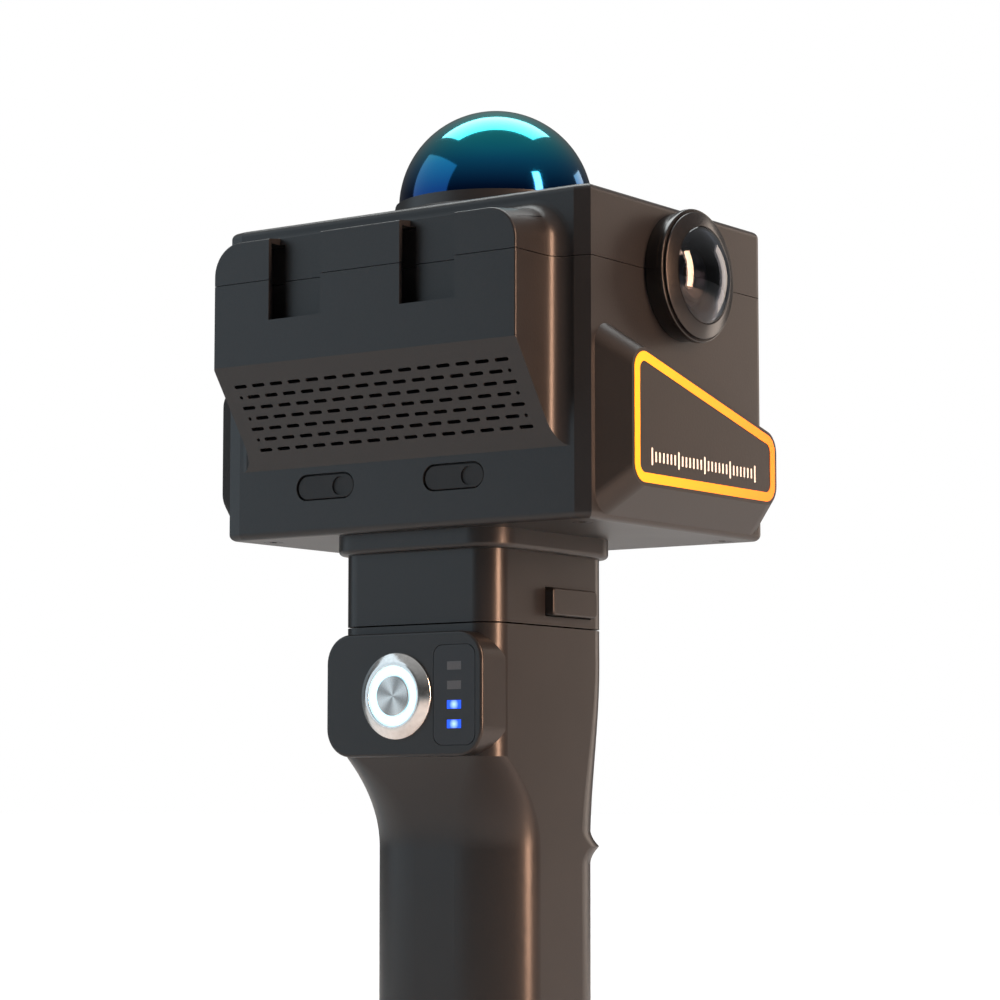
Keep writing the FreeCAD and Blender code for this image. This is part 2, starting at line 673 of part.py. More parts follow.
def screw_seats():
    """Where the underside of each screw's head rests: the cap, the flange and the head."""
    seats = [(sign + "cap_screw_across", "0", "cap_seat") for sign in ("", "-")]
    seats += [(x, y, "neck_top") for x, y in flange_screw_places()]
    seats += [(x, y, "head_bottom + screw_head_height") for x, y in head_screw_places()]
    return seats


def make_screws():
    """Socket-head screws, all alike and all put in from below."""
    node("socket_screws", group(*[screw(at) for at in screw_seats()]))


def screw(at):
    return turned([
        ("0", "0 - screw_head_height / 2"), ("socket_radius", "0 - screw_head_height / 2"),
        ("socket_radius", "0 - screw_head_height"), ("screw_head", "0 - screw_head_height"),
        ("screw_head", "0"), ("screw_radius", "0"), ("screw_radius", "screw_length"),
        ("0", "screw_length")], at)


# --------------------------------------------------------------------------------------
# Neck
# --------------------------------------------------------------------------------------
def release_block(growth, inside, outside):
    """A block the size of a release button on the right side, grown all round."""
    return block((inside, outside),
                 ("neck_middle + release_forward - release_length / 2 - (%s)" % growth,
                  "neck_middle + release_forward + release_length / 2 + (%s)" % growth),
                 ("release_middle - release_height / 2 - (%s)" % growth,
                  "release_middle + release_height / 2 + (%s)" % growth))


def mirrored(thing):
    """The same piece on the other side of the YZ plane."""
    other = doc.addObject("Part::Mirroring", free_name("mirrored"))
    other.Source = thing
    other.Normal = FreeCAD.Vector(1, 0, 0)
    other.Base = FreeCAD.Vector(0, 0, 0)
    return other


def make_neck():
    side = "grip_side"
    outer = prism("XY", rectangle("-" + side, side, "neck_back", "grip_front"),
                  "handle_height + neck_seam", "neck_top", {"neck_corner": [0, 1, 2, 3]})
    inner = block(("-(grip_side - neck_wall)", "grip_side - neck_wall"),
                  ("neck_back + neck_wall", "grip_front - neck_wall"),
                  ("handle_height - 1", "neck_top + 1"))
    window = release_block("release_gap", "grip_side - 2 * neck_wall", "grip_side + 1")
    node("neck_sleeve", cut(outer, inner, window, mirrored(window)))

    over = "flange_over"
    flange = prism("XY", rectangle("-grip_side - " + over, "grip_side + " + over,
                                   "neck_back - " + over, "grip_front + " + over),
                   "neck_top", "head_bottom", {"flange_corner": [0, 1, 2, 3]})
    low = read("neck_top")
    round_off(flange, flange.Tip, "flange_edge", lambda a, b: near(a.z, low) and near(b.z, low))
    wires = rod("cable_hole", "flange_height + 2", ("0", "neck_middle", "neck_top - 1"))
    holes = [rod("screw_radius", "flange_height + 2", (x, y, "neck_top - 1"))
             for x, y in flange_screw_places()]
    node("neck_flange", cut(flange, wires, *holes))


def flange_screw_places():
    """The screws that hold the flange lie inside the sleeve, near its corners."""
    return [(sx + "flange_screw_across", "neck_middle %s flange_screw_along" % sy)
            for sx in ("", "-") for sy in "+-"]


def make_tongue():
    """The coupling on the handle's top that the sleeve fits over, with pockets for springs."""
    inset = "(neck_wall + tongue_inset)"
    body = block(("-(grip_side - %s)" % inset, "grip_side - " + inset),
                 ("neck_back + neck_wall + tongue_fit", "grip_front - neck_wall - tongue_fit"),
                 ("handle_height", "neck_top - 6"))
    wires = rod("cable_hole", "neck_height + 2", ("0", "neck_middle", "handle_height - 1"))
    pocket = spring_axis("spring_radius + 0.4", "grip_side - %s - 5" % inset,
                         "grip_side - neck_wall")
    pins = [rod("pin_radius", "9", ("pin_pitch * %s" % step, "neck_middle + pin_forward",
                                    "neck_top - 9")) for step in (-1.5, -0.5, 0.5, 1.5)]
    node("contact_pins", group(*pins))
    node("handle_tongue", cut(body, wires, pocket, mirrored(pocket), *pins))


def spring_axis(radius, inside, outside):
    return rod(radius, "(%s) - (%s)" % (outside, inside),
               (inside, "neck_middle + release_forward", "release_middle"), "+X")


def make_release_buttons():
    """One latch button each side: its head shows through the sleeve, its lip stays inside."""
    lip_out = "grip_side - neck_wall - release_gap"
    lip_in = lip_out + " - release_lip"
    half, tall = "release_length / 2", "release_height / 2"
    centre = "(neck_middle + release_forward)"
    head = prism("YZ", rectangle("%s - %s" % (centre, half), "%s + %s" % (centre, half),
                                 "release_middle - " + tall, "release_middle + " + tall),
                 lip_in, "grip_side + release_stand", {"release_corner": [0, 1, 2, 3]})
    out = read("grip_side") + read("release_stand")
    round_off(head, head.Tip, "release_edge", lambda a, b: near(a.x, out) and near(b.x, out))
    right = join(head, release_block("1.2", lip_in, lip_out))
    node("release_button_right", right)
    node("release_button_left", mirrored(right))

    # The spring works between the button's lip and the bottom of the tongue's pocket.
    inside = read("grip_side") - read("neck_wall") - read("tongue_inset") - 5
    outside = read("grip_side") - read("neck_wall") - read("release_gap") - read("release_lip")
    length = outside - inside - 2 * read("spring_wire")
    pitch = length / read("spring_turns")
    radius = read("spring_radius") - read("spring_wire")
    helix = Part.makeHelix(pitch, length, radius)
    start = FreeCAD.Vector(radius, 0, 0)
    disc = Part.Wire(Part.makeCircle(read("spring_wire") / 2, start, FreeCAD.Vector(0, 1, 0)))
    coil = Part.Wire(helix).makePipeShell([disc], True, True)
    coil.Placement = FreeCAD.Placement(
        FreeCAD.Vector(inside + read("spring_wire"),
                       read("neck_middle") + read("release_forward"), read("release_middle")),
        TURN["+X"])
    right_spring = shaped(coil.copy())
    right_spring.Placement = coil.Placement
    node("release_spring_right", right_spring)
    node("release_spring_left", mirrored(right_spring))


# --------------------------------------------------------------------------------------
# Head shells
# --------------------------------------------------------------------------------------
def head_box():
    """The head's box with bevelled back corners and softened top and bottom edges."""
    outline = [("-head_side", "head_back + bevel_depth"),
               ("-head_side + bevel_width", "head_back"),
               ("head_side - bevel_width", "head_back"),
               ("head_side", "head_back + bevel_depth"),
               ("head_side", "head_front"), ("-head_side", "head_front")]
    body = prism("XY", outline, "head_bottom", "head_top", {"head_corner": [4, 5]})
    low, high = read("head_bottom"), read("head_top")
    round_off(body, body.Tip, "head_edge",
              lambda a, b: near(a.z, b.z) and (near(a.z, low) or near(a.z, high)))
    return body


def hump_profile(inset_back, inset_top, slope_back, slope_foot, depth):
    """The hump's side view, from its front top edge down to the foot of its slope."""
    return [("hump_back + (%s)" % inset_back, "hump_edge - (%s)" % inset_top),
            ("hump_back + (%s)" % inset_back, "knee + (%s)" % slope_back),
            ("head_back", "foot + (%s)" % slope_foot),
            ("head_back + (%s)" % depth, "foot + (%s)" % slope_foot),
            ("head_back + (%s)" % depth, "hump_ridge - (%s)" % inset_top),
            ("head_back", "hump_ridge - (%s)" % inset_top)]


def hump_column():
    """A column with the hump's top that runs straight down, on a slab set in the head's back.

    Its front edges are eased, and a cove runs up one side, round the top and down the other.
    """
    body = new_body("column")
    sketch = new_sketch(body, "YZ_Plane", "-hump_side")
    draw_outline(sketch, [("hump_back", "hump_edge"), ("hump_back", "head_bottom + slab_drop"),
                          ("head_back + wall", "head_bottom + slab_drop"),
                          ("head_back + wall", "hump_ridge"), ("head_back", "hump_ridge")])
    pad = body.newObject("PartDesign::Pad", free_name("pad"))
    pad.Profile = sketch
    pad.setExpression("Length", bound("2 * hump_side"))
    doc.recompute()
    floor, side = read("hump_edge") - 1, read("hump_side")
    rounded = round_off(body, pad, "hump_corner",
                        lambda a, b: a.z > floor and b.z > floor and near(a.x, b.x)
                        and near(abs(a.x), side) and not near(a.y, b.y))
    front = read("hump_back")
    round_off(body, rounded, "hump_edge_round",
              lambda a, b: near(a.y, front) and near(b.y, front)
              and max(a.z, b.z) > read("hump_edge") - 2 * read("hump_corner"))
    slab = block(("-slab_side", "slab_side"), ("head_back", "head_back + wall"),
                 ("head_bottom + slab_drop", "head_top - slab_drop"))
    whole = join(body, slab)
    doc.recompute()
    back, low = read("head_back"), read("head_bottom") + read("slab_drop")
    top, wide, narrow = read("head_top") - read("slab_drop") - 0.5, read("cove_radius"), read("cove_top")
    coved = doc.addObject("Part::Fillet", free_name("coved"))
    coved.Base = whole
    picked = []
    for number, edge in enumerate(whole.Shape.Edges, start=1):
        ends = [vertex.Point for vertex in edge.Vertexes]
        inside = all(near(p.y, back) and abs(p.x) < side + 1e-3 and p.z < top for p in ends)
        if len(ends) != 2 or not inside or (near(ends[0].z, low) and near(ends[1].z, low)):
            continue
        upright = near(ends[0].x, ends[1].x)
        level = near(ends[0].z, ends[1].z)
        if upright:
            picked.append((number, wide, wide))
        elif level:
            picked.append((number, narrow, narrow))
        else:
            low_first = edge.valueAt(edge.FirstParameter).z < edge.valueAt(edge.LastParameter).z
            picked.append((number, wide, narrow) if low_first else (number, narrow, wide))
    coved.Edges = picked
    doc.recompute()
    return coved


def hump_outside():
    """The column, cut off below by the slope that holds the vent."""
    slope_y, slope_z = "hump_stand", "(hump_knee - hump_foot)"
    wedge = prism("YZ", [
        ("hump_back - " + slope_y, "knee + " + slope_z), ("head_back", "foot"),
        ("head_back + wall + 1", "foot"), ("head_back + wall + 1", "head_bottom - 1"),
        ("hump_back - " + slope_y, "head_bottom - 1")], "-slab_side - 1", "slab_side + 1")
    return cut(hump_column(), wedge)


def pocket_lefts():
    """The left edge of each of the two hook pockets."""
    return ("-pocket_inner - pocket_width", "pocket_inner")


def pocket_blocks(growth):
    """The two hook pockets with their undercut catches, or the liners around them."""
    blocks = []
    front = "hump_back - 1" if growth == "0" else "hump_back"
    for left in pocket_lefts():
        blocks.append(block(
            (left + " - " + growth, left + " + pocket_width + " + growth),
            (front, "hump_back + pocket_depth + " + growth),
            ("head_top - pocket_drop - " + growth, "head_top")))
        blocks.append(block(
            (left + " - catch_reach - " + growth, left + " + catch_open + " + growth),
            ("hump_back + catch_thick - " + growth,
             "hump_back + pocket_depth + catch_deep + " + growth),
            ("head_top - pocket_drop - " + growth,
             "hump_edge - catch_roof" if growth == "0" else "head_top")))
    return blocks


def head_cavity():
    """The room inside the box and the hump."""
    inner = block(("-head_side + wall", "head_side - wall"),
                  ("head_back + wall + bevel_depth", "head_front - wall"),
                  ("head_bottom + wall", "head_top - wall"))
    inside = prism("YZ", hump_profile("wall", "wall", "slope_rise - wall", "slope_rise",
                                      "wall + bevel_depth + 1"),
                   "-(hump_side - wall)", "hump_side - wall")
    return join(inner, inside)


def vent_place():
    """The tilt of the hump's slope, and the point on it where the vent panel starts."""
    tilt = math.atan2(read("hump_stand"), read("hump_knee") - read("hump_foot"))
    start = read("vent_start")
    base = FreeCAD.Vector(0, read("hump_back") + start * math.sin(tilt),
                          read("knee") - start * math.cos(tilt))
    down = FreeCAD.Vector(0, math.sin(tilt), -math.cos(tilt))
    inwards = FreeCAD.Vector(0, math.cos(tilt), math.sin(tilt))
    across = down.cross(inwards)
    return FreeCAD.Placement(FreeCAD.Matrix(
        across.x, down.x, inwards.x, base.x, across.y, down.y, inwards.y, base.y,
        across.z, down.z, inwards.z, base.z, 0, 0, 0, 1))


def vent_opening():
    """The opening in the slope, made in the panel's own frame and set on the slope."""
    body = prism("XY", rectangle("-vent_width / 2", "vent_width / 2", "0", "vent_length"),
                 "-1", "2 * wall")
    body.Placement = vent_place()
    return body


def lens_holes():
    return [rod("tube_radius + 0.05", "3 * wall", (start, "head_forward", "parting"), "+X")
            for start in ("head_side - 2 * wall", "-head_side - wall")]


def port_places():
    return (("left", "port_left"), ("right", "port_right"))


def port_recess(across):
    """The oblong recess that a port cover lies in."""
    body = new_body("recess")
    sketch = new_sketch(body, "XZ_Plane", "0 - head_back - port_recess")
    draw_slot(sketch, across, "port_middle", "port_length", "port_size")
    pad = body.newObject("PartDesign::Pad", free_name("pad"))
    pad.Profile = sketch
    pad.setExpression("Length", bound("port_recess + 1"))
    doc.recompute()
    return body


def socket_hole(across, growth="0", depth="wall + bevel_depth + 1"):
    return block(("%s - socket_width / 2 - (%s)" % (across, growth),
                  "%s + socket_width / 2 + (%s)" % (across, growth)),
                 ("head_back + port_recess", "head_back + (%s)" % depth),
                 ("port_middle - socket_size / 2 - (%s)" % growth,
                  "port_middle + socket_size / 2 + (%s)" % growth))


def head_screw_places():
    """The four screws that close the head from below, near its corners."""
    return [(sx + "(head_side - screw_inset)", y) for sx in ("", "-")
            for y in ("head_back + screw_inset + bevel_depth", "head_front - screw_inset")]


def make_head_shells():
    outside = join(head_box(), hump_outside())
    liners = common(join(*pocket_blocks("pocket_wall")), outside)
    skin = join(cut(outside, head_cavity()), liners)
    ports = []
    for _, across in port_places():
        ports.append(port_recess(across))
        ports.append(socket_hole(across, "socket_skin"))
    skin = cut(skin, vent_opening(), *pocket_blocks("0"), *lens_holes(), *ports)

    wide, tall = "2 * head_side", "2 * head_height"
    above = block(("-" + wide, wide), ("-" + wide, wide),
                  ("parting + parting_seam", "parting + " + tall))
    below = block(("-" + wide, wide), ("-" + wide, wide), ("parting - " + tall, "parting"))

    collar = turned([
        ("dome_radius + dome_gap", "0 - 1"), ("collar_foot", "0 - 1"), ("collar_foot", "0"),
        ("collar_radius + 2.2", "collar_height * 0.22"),
        ("collar_radius + 0.7", "collar_height * 0.55"), ("collar_radius", "collar_height"),
        ("dome_radius + dome_gap", "collar_height")], ("0", "head_forward", "head_top"))
    throat = rod("dome_radius - dome_thick", "wall + 2",
                 ("0", "head_forward", "head_top - wall - 1"))
    top = cut(common(skin, above), throat)
    posts = [rod("2 * screw_radius", "head_height - wall - pad_height",
                 (x, y, "head_bottom + pad_height")) for x, y in head_screw_places()]
    threads = [rod("screw_radius", "screw_length + screw_head_height + 1", (x, y, "head_bottom"))
               for x, y in head_screw_places()]
    node("upper_cover", cut(join(top, collar, *posts), *threads))

    pads = [rod("pad_radius", "pad_height", (x, y, "head_bottom"))
            for x, y in head_screw_places()]
    heads = [rod("screw_head", "screw_head_height + 1", (x, y, "head_bottom - 1"))
             for x, y in head_screw_places()]
    wires = rod("cable_hole", "2 * wall", ("0", "neck_middle", "head_bottom - 1"))
    flange_holes = [rod("screw_radius", "2 * wall", (x, y, "head_bottom - 1"))
                    for x, y in flange_screw_places()]
    node("lower_housing", cut(join(common(skin, below), *pads), wires, *heads, *threads,
                              *flange_holes))


def make_vent_panel():
    """A flush panel in the slope with staggered rows of short slots."""
    body = new_body("vent")
    outline = new_sketch(body, "XY_Plane")
    draw_outline(outline, rectangle("-vent_width / 2", "vent_width / 2", "0", "vent_length"))
    pad = body.newObject("PartDesign::Pad", free_name("pad"))
    pad.Profile = outline
    pad.setExpression("Length", bound("wall"))
    doc.recompute()
    for row in range(int(read("row_count"))):
        count = int(read("slot_count")) - row % 2
        across = "-slot_pitch * %s" % ((count - 1) / 2)
        down = "row_start - vent_start + row_pitch * %d" % row
        cut_slot_row(body, across, down, count)
        if row % 2:
            cut_end_dots(body, "slot_pitch * %s + slot_length" % ((count - 1) / 2), down)
    body.Placement = vent_place()
    node("vent_panel", body)


def cut_slot_row(body, across, down, count):
    """One slot cut through the panel, then repeated along the row."""
    sketch = new_sketch(body, "XY_Plane")
    draw_slot(sketch, across, down, "slot_length", "slot_width")
    pocket = body.newObject("PartDesign::Pocket", free_name("slot"))
    pocket.Profile = sketch
    pocket.Type = "ThroughAll"
    pocket.Midplane = True
    doc.recompute()
    row = body.newObject("PartDesign::LinearPattern", free_name("row"))
    row.Originals = [pocket]
    row.Direction = (sketch, ["H_Axis"])
    row.Occurrences = count
    row.setExpression("Length", bound("slot_pitch * %d" % (count - 1)))
    body.Tip = row
    doc.recompute()


def cut_end_dots(body, reach, down):
    """A small round hole at each end of a row."""
    sketch = new_sketch(body, "XY_Plane")
    for number, sign in enumerate(("", "-")):
        across, radius = "%s(%s)" % (sign, reach), worth("slot_width") / 2
        start = FreeCAD.Vector(worth(across), worth(down), 0)
        sketch.addGeometry(Part.Circle(start, FreeCAD.Vector(0, 0, 1), radius))
        pin_point(sketch, number, 3, across, down)
        bind = sketch.addConstraint(Sketcher.Constraint("Radius", number, radius))
        sketch.setExpression("Constraints[%d]" % bind, bound("slot_width / 2"))
    pocket = body.newObject("PartDesign::Pocket", free_name("dots"))
    pocket.Profile = sketch
    pocket.Type = "ThroughAll"
    pocket.Midplane = True
    body.Tip = pocket
    doc.recompute()


def make_ports():
    """A metal socket behind each hole in the back, under a rubber cover on a hinge tab."""
    for side, across in port_places():
        shell = block(("%s - socket_width / 2" % across, "%s + socket_width / 2" % across),
                      ("head_back + port_recess + plug_boss",
                       "head_back + port_recess + socket_depth"),
                      ("port_middle - socket_size / 2", "port_middle + socket_size / 2"))
        inner = block(("%s - socket_width / 2 + socket_skin" % across,
                       "%s + socket_width / 2 - socket_skin" % across),
                      ("head_back", "head_back + port_recess + socket_depth - 1"),
                      ("port_middle - socket_size / 2 + socket_skin",
                       "port_middle + socket_size / 2 - socket_skin"))
        stem = block(("%s - socket_width / 2" % across, "%s + socket_width / 2" % across),
                     ("head_back + port_recess + socket_depth - 2",
                      "head_back + port_recess + socket_depth"),
                     ("board_top", "port_middle - socket_size / 2"))
        node("port_socket_" + side, join(cut(shell, inner), stem))
        node("port_cover_" + side, port_cover(across))


def port_cover(across):
    body = new_body("cover")
    sketch = new_sketch(body, "XZ_Plane", "0 - head_back - plug_sink - plug_thick")
    draw_slot(sketch, across, "port_middle", "port_length - 2 * plug_gap",
              "port_size - 2 * plug_gap")
    pad = body.newObject("PartDesign::Pad", free_name("pad"))
    pad.Profile = sketch
    pad.setExpression("Length", bound("plug_thick"))
    doc.recompute()
    outer = read("head_back") + read("plug_sink")
    round_off(body, pad, "plug_edge", lambda a, b: near(a.y, outer) and near(b.y, outer))
    boss = socket_hole(across, "0 - boss_play", "port_recess + plug_boss - 0.4")
    stem = block(("%s - socket_width / 2 + boss_play" % across,
                  "%s + socket_width / 2 - boss_play" % across),
                 ("head_back + plug_sink", "head_back + port_recess + 0.1"),
                 ("port_middle - socket_size / 2 + boss_play",
                  "port_middle + socket_size / 2 - boss_play"))
    dimple = rod("dimple_radius", "dimple_depth + 1",
                 ("%s + dimple_inset" % across, "head_back + plug_sink - 1", "port_middle"), "+Y")
    return cut(join(body, boss, stem), dimple)


# --------------------------------------------------------------------------------------
# Side cameras and side covers
# --------------------------------------------------------------------------------------
def camera_pieces(sign, side):
    """One wide-angle camera: barrel, front ring, dome glass, lens cell, element and board."""
    at = (sign + "head_side", "head_forward", "parting")
    axis = "-X" if sign else "+X"
    ring_back = "stand_length + rear_ring_thick"
    face = ring_back + " + front_ring_thick"
    node(side + "_camera_barrel", turned([
        ("tube_bore", "0 - tube_depth"), ("tube_radius", "0 - tube_depth"), ("tube_radius", "0"),
        ("stand_radius", "0"), ("stand_radius", "stand_length"),
        ("rear_ring_radius", "stand_length"), ("rear_ring_radius", ring_back),
        ("tube_bore", ring_back)], at, axis))
    node(side + "_camera_ring", turned([
        ("glass_radius", ring_back), ("front_ring_radius - groove_depth", ring_back),
        ("front_ring_radius - groove_depth", ring_back + " + groove"),
        ("front_ring_radius", ring_back + " + groove"),
        ("front_ring_radius", ring_back + " + groove + front_ring_lip"),
        ("glass_radius + 0.3", face), ("glass_radius", face)], at, axis))
    node(side + "_camera_glass", camera_glass(sign, ring_back, face, at, axis))
    node(side + "_lens_cell", turned([
        ("element_radius - 0.4", "0"), ("tube_bore", "0"), ("tube_bore", "cell_step"),
        ("cell_ring_radius + 1", "cell_step"), ("cell_ring_radius", "2.4 * cell_step"),
        ("cell_ring_radius - 1.2", "2.4 * cell_step"), ("element_radius", "1.5 * cell_step"),
        ("element_radius - 0.4", "1.5 * cell_step")], at, axis))
    node(side + "_lens_element", turned([
        ("0", "cell_step / 2"), ("element_radius - 0.4", "cell_step / 2"),
        ("element_radius - 0.4", "1.5 * cell_step"), ("element_radius - 1.4", "2 * cell_step"),
        ("0", "2.2 * cell_step")], at, axis))
    low, high = "head_side - tube_depth - board_thick", "head_side - tube_depth"
    ends = (low, high) if not sign else ("-(%s)" % high, "-(%s)" % low)
    node(side + "_camera_board", block(
        ends, ("head_forward - board_side / 2", "head_forward + board_side / 2"),
        ("parting - board_side / 2", "parting + board_side / 2")))


def camera_glass(sign, ring_back, face, at, axis):
    """A thin spherical cap whose edge stands inside the front ring."""
    height = read("stand_length") + read("rear_ring_thick") + read("front_ring_thick")
    edge, rise = read("glass_radius"), read("glass_rise")
    radius = (edge * edge + rise * rise) / (2 * rise)
    centre = height + rise - radius
    direction = FreeCAD.Vector(-1 if sign else 1, 0, 0)
    foot = FreeCAD.Vector((-1 if sign else 1) * read("head_side"), read("head_forward"),
                          read("parting"))
    middle = foot + direction * centre
    shell = Part.makeSphere(radius, middle).cut(
        Part.makeSphere(radius - read("glass_thick"), middle))
    start = foot + direction * (height - read("front_ring_thick"))
    sleeve = Part.makeCylinder(edge, 2 * radius, start, direction)
    return shaped(shell.common(sleeve))


def cover_points(sign, stand, flare, down, up):
    """The four corners of a side cover's outline at one distance from the head's side."""
    forward, low = read("head_forward"), read("head_bottom")
    half = read("cover_half") + flare
    slope = (read("cover_high_back") - read("cover_high_front")) / (2 * read("cover_half"))
    top_back = read("cover_high_back") + up + slope * flare
    top_front = read("cover_high_front") + up - slope * flare
    across = sign * (read("head_side") + stand)
    bottom = read("cover_low") - down
    return [FreeCAD.Vector(across, forward - half, low + bottom),
            FreeCAD.Vector(across, forward + half, low + bottom),
            FreeCAD.Vector(across, forward + half, low + top_front),
            FreeCAD.Vector(across, forward - half, low + top_back)]


def inset_wire(wire, distance):
    return wire.makeOffset2D(-distance) if distance else wire


def stripe_body(sign, growth, low, high):
    """The closed band of the stripe, between two distances from the cover's face."""
    points = cover_points(sign, read("cover_stand") + low, 0, 0, 0)
    edge = rounded_wire(points, read("cover_corner"))
    outer = Part.Face(inset_wire(edge, read("stripe_margin") - growth))
    inner = Part.Face(inset_wire(edge, read("stripe_margin") + read("stripe_width") + growth))
    depth = FreeCAD.Vector(sign * (high - low), 0, 0)
    return outer.extrude(depth).cut(inner.extrude(depth))


def make_side_covers():
    """A raised cover low on each side of the head, with a coloured stripe round its face."""
    stand, corner = read("cover_stand"), read("cover_corner")
    wall = read("cover_wall")
    for side, sign in (("right", 1), ("left", -1)):
        base = rounded_wire(cover_points(sign, 0, read("cover_flare"), read("cover_flare_down"),
                                         read("cover_flare_up")), corner)
        face = rounded_wire(cover_points(sign, stand, 0, 0, 0), corner)
        outside = Part.makeLoft([base, face], True, True)
        inner_base = inset_wire(base, wall)
        inner_face = inset_wire(face, wall).translated(FreeCAD.Vector(-sign * wall, 0, 0))
        inside = Part.makeLoft([inner_base, inner_face], True, True)
        depth, proud = read("stripe_thick"), read("stripe_proud")
        groove = stripe_body(sign, 0, -depth, 1)
        node(side + "_side_cover", shaped(outside.cut([inside, groove])))
        node(side + "_side_stripe", shaped(stripe_body(sign, 0, -depth, proud)))


# --------------------------------------------------------------------------------------
# Lidar
# --------------------------------------------------------------------------------------
def make_lidar():
    """The dome window on its gasket, and under it the base, motor, spindle and optics."""
    centre = ("0", "head_forward", "collar_top")
    inner = "dome_radius - dome_thick"
    skirt = cut(rod("dome_radius", "dome_skirt", ("0", "head_forward", "collar_top - dome_skirt")),
                rod(inner, "dome_skirt + 2", ("0", "head_forward", "collar_top - dome_skirt - 1")))
    shell = cut(ball("dome_radius", centre), ball(inner, centre))
    half = block(("-2 * dome_radius", "2 * dome_radius"),
                 ("head_forward - 2 * dome_radius", "head_forward + 2 * dome_radius"),
                 ("collar_top", "collar_top + 2 * dome_radius"))
    node("lidar_dome", join(common(shell, half), skirt))
    node("dome_gasket", turned([
        (inner, "0"), ("dome_radius", "0"), ("dome_radius", "gasket_thick"),
        (inner, "gasket_thick")], ("0", "head_forward", "head_top")))

    # The base hangs from the underside of the cover's top.
    base_top = ("0", "head_forward", "head_top - wall")
    bottom = "0 - lidar_depth"
    node("lidar_base", turned([
        ("bearing_radius", bottom), ("lidar_radius", bottom),
        ("lidar_radius", "0 - lidar_flange_thick"), ("lidar_rim", "0 - lidar_flange_thick"),
        ("lidar_rim", "0"), ("lidar_radius", "0"), ("lidar_radius", "wall"),
        ("stator_radius", "wall"), ("stator_radius", bottom + " + 2 * bearing_height"),
        ("bearing_radius", bottom + " + 2 * bearing_height")], base_top))
    node("lidar_bearing", turned([
        ("spindle_radius + spindle_gap", bottom + " + bearing_height / 2"),
        ("bearing_radius", bottom + " + bearing_height / 2"),
        ("bearing_radius", bottom + " + 1.5 * bearing_height"),
        ("spindle_radius + spindle_gap", bottom + " + 1.5 * bearing_height")], base_top))
    stator_low = bottom + " + 2 * bearing_height"
    node("lidar_stator", turned([
        ("stator_bore", stator_low), ("stator_radius", stator_low),
        ("stator_radius", stator_low + " + stator_height"),
        ("stator_bore", stator_low + " + stator_height")], base_top))
    table_low = "wall + table_gap"
    node("lidar_spindle", turned([
        ("0", bottom + " + 1"), ("spindle_radius", bottom + " + 1"),
        ("spindle_radius", stator_low + " + 1"), ("stator_bore - 1", stator_low + " + 1"),
        ("stator_bore - 1", table_low), ("table_radius", table_low),
        ("table_radius", table_low + " + table_thick"), ("0", table_low + " + table_thick")],
        base_top))
    deck = "head_top + %s - wall + table_thick" % table_low
    leaning = doc.addObject("Part::Box", free_name("mirror"))
    leaning.setExpression("Length", bound("mirror_width"))
    leaning.setExpression("Width", bound("mirror_thick"))
    leaning.setExpression("Height", bound("mirror_height"))
    leaning.Placement = FreeCAD.Placement(
        FreeCAD.Vector(), FreeCAD.Rotation(FreeCAD.Vector(1, 0, 0), 20))
    seat(leaning, ("-mirror_width / 2", "head_forward + 1", "(%s)" % deck))
    foot = block(("-mirror_width / 2", "mirror_width / 2"),
                 ("head_forward - mirror_thick", "head_forward + 2 * mirror_thick"),
                 (deck, deck + " + 2"))
    node("lidar_mirror", join(leaning, foot))
    node("laser_emitter", rod("emitter_radius", "emitter_length",
                              ("0 - receiver_radius", "head_forward - mirror_thick - "
                               "emitter_length - 3", "(%s) + emitter_radius" % deck), "+Y"))
    node("laser_receiver", rod("receiver_radius", "emitter_length",
                               ("receiver_radius - 1", "head_forward - mirror_thick - "
                                "emitter_length - 2.4", "(%s) + receiver_radius" % deck), "+Y"))


# --------------------------------------------------------------------------------------
# Electronics and cooling
# --------------------------------------------------------------------------------------
def make_electronics():
    half = "main_board_length / 2"
    back = "head_back + wall + bevel_depth + 3"
    front = back + " + main_board_depth"
    board = block(("-" + half, half), (back, front), ("board_bottom", "board_top"))
    chips = [block((x, x + " + chip_size"), (back + " + 34", back + " + 34 + chip_size"),
                   ("board_top", "board_top + chip_height"))
             for x in ("-chip_size - 8", "8")]
    node("main_board", join(board, *chips))
    posts = []
    for sign in ("", "-"):
        for y in (back + " + post_inset", front + " - post_inset"):
            posts.append(rod("post_radius", "main_board_lift - wall",
                             (sign + "(%s - post_inset)" % half, y, "head_bottom + wall")))
    node("board_posts", group(*posts))
    make_heat_sink("board_top + chip_height", back + " + 28")


def make_heat_sink(low, back):
    """A finned block that sits on the two chips."""
    base = block(("-sink_length / 2", "sink_length / 2"), (back, back + " + sink_depth"),
                 (low, low + " + sink_base"))
    fins = []
    count = int(read("fin_count"))
    for number in range(count):
        share = number / (count - 1)
        left = "-sink_length / 2 + (sink_length - fin_thick) * %r" % share
        fins.append(block((left, left + " + fin_thick"), (back, back + " + sink_depth"),
                          (low + " + sink_base", low + " + sink_base + fin_height")))
    node("heat_sink", join(base, *fins))


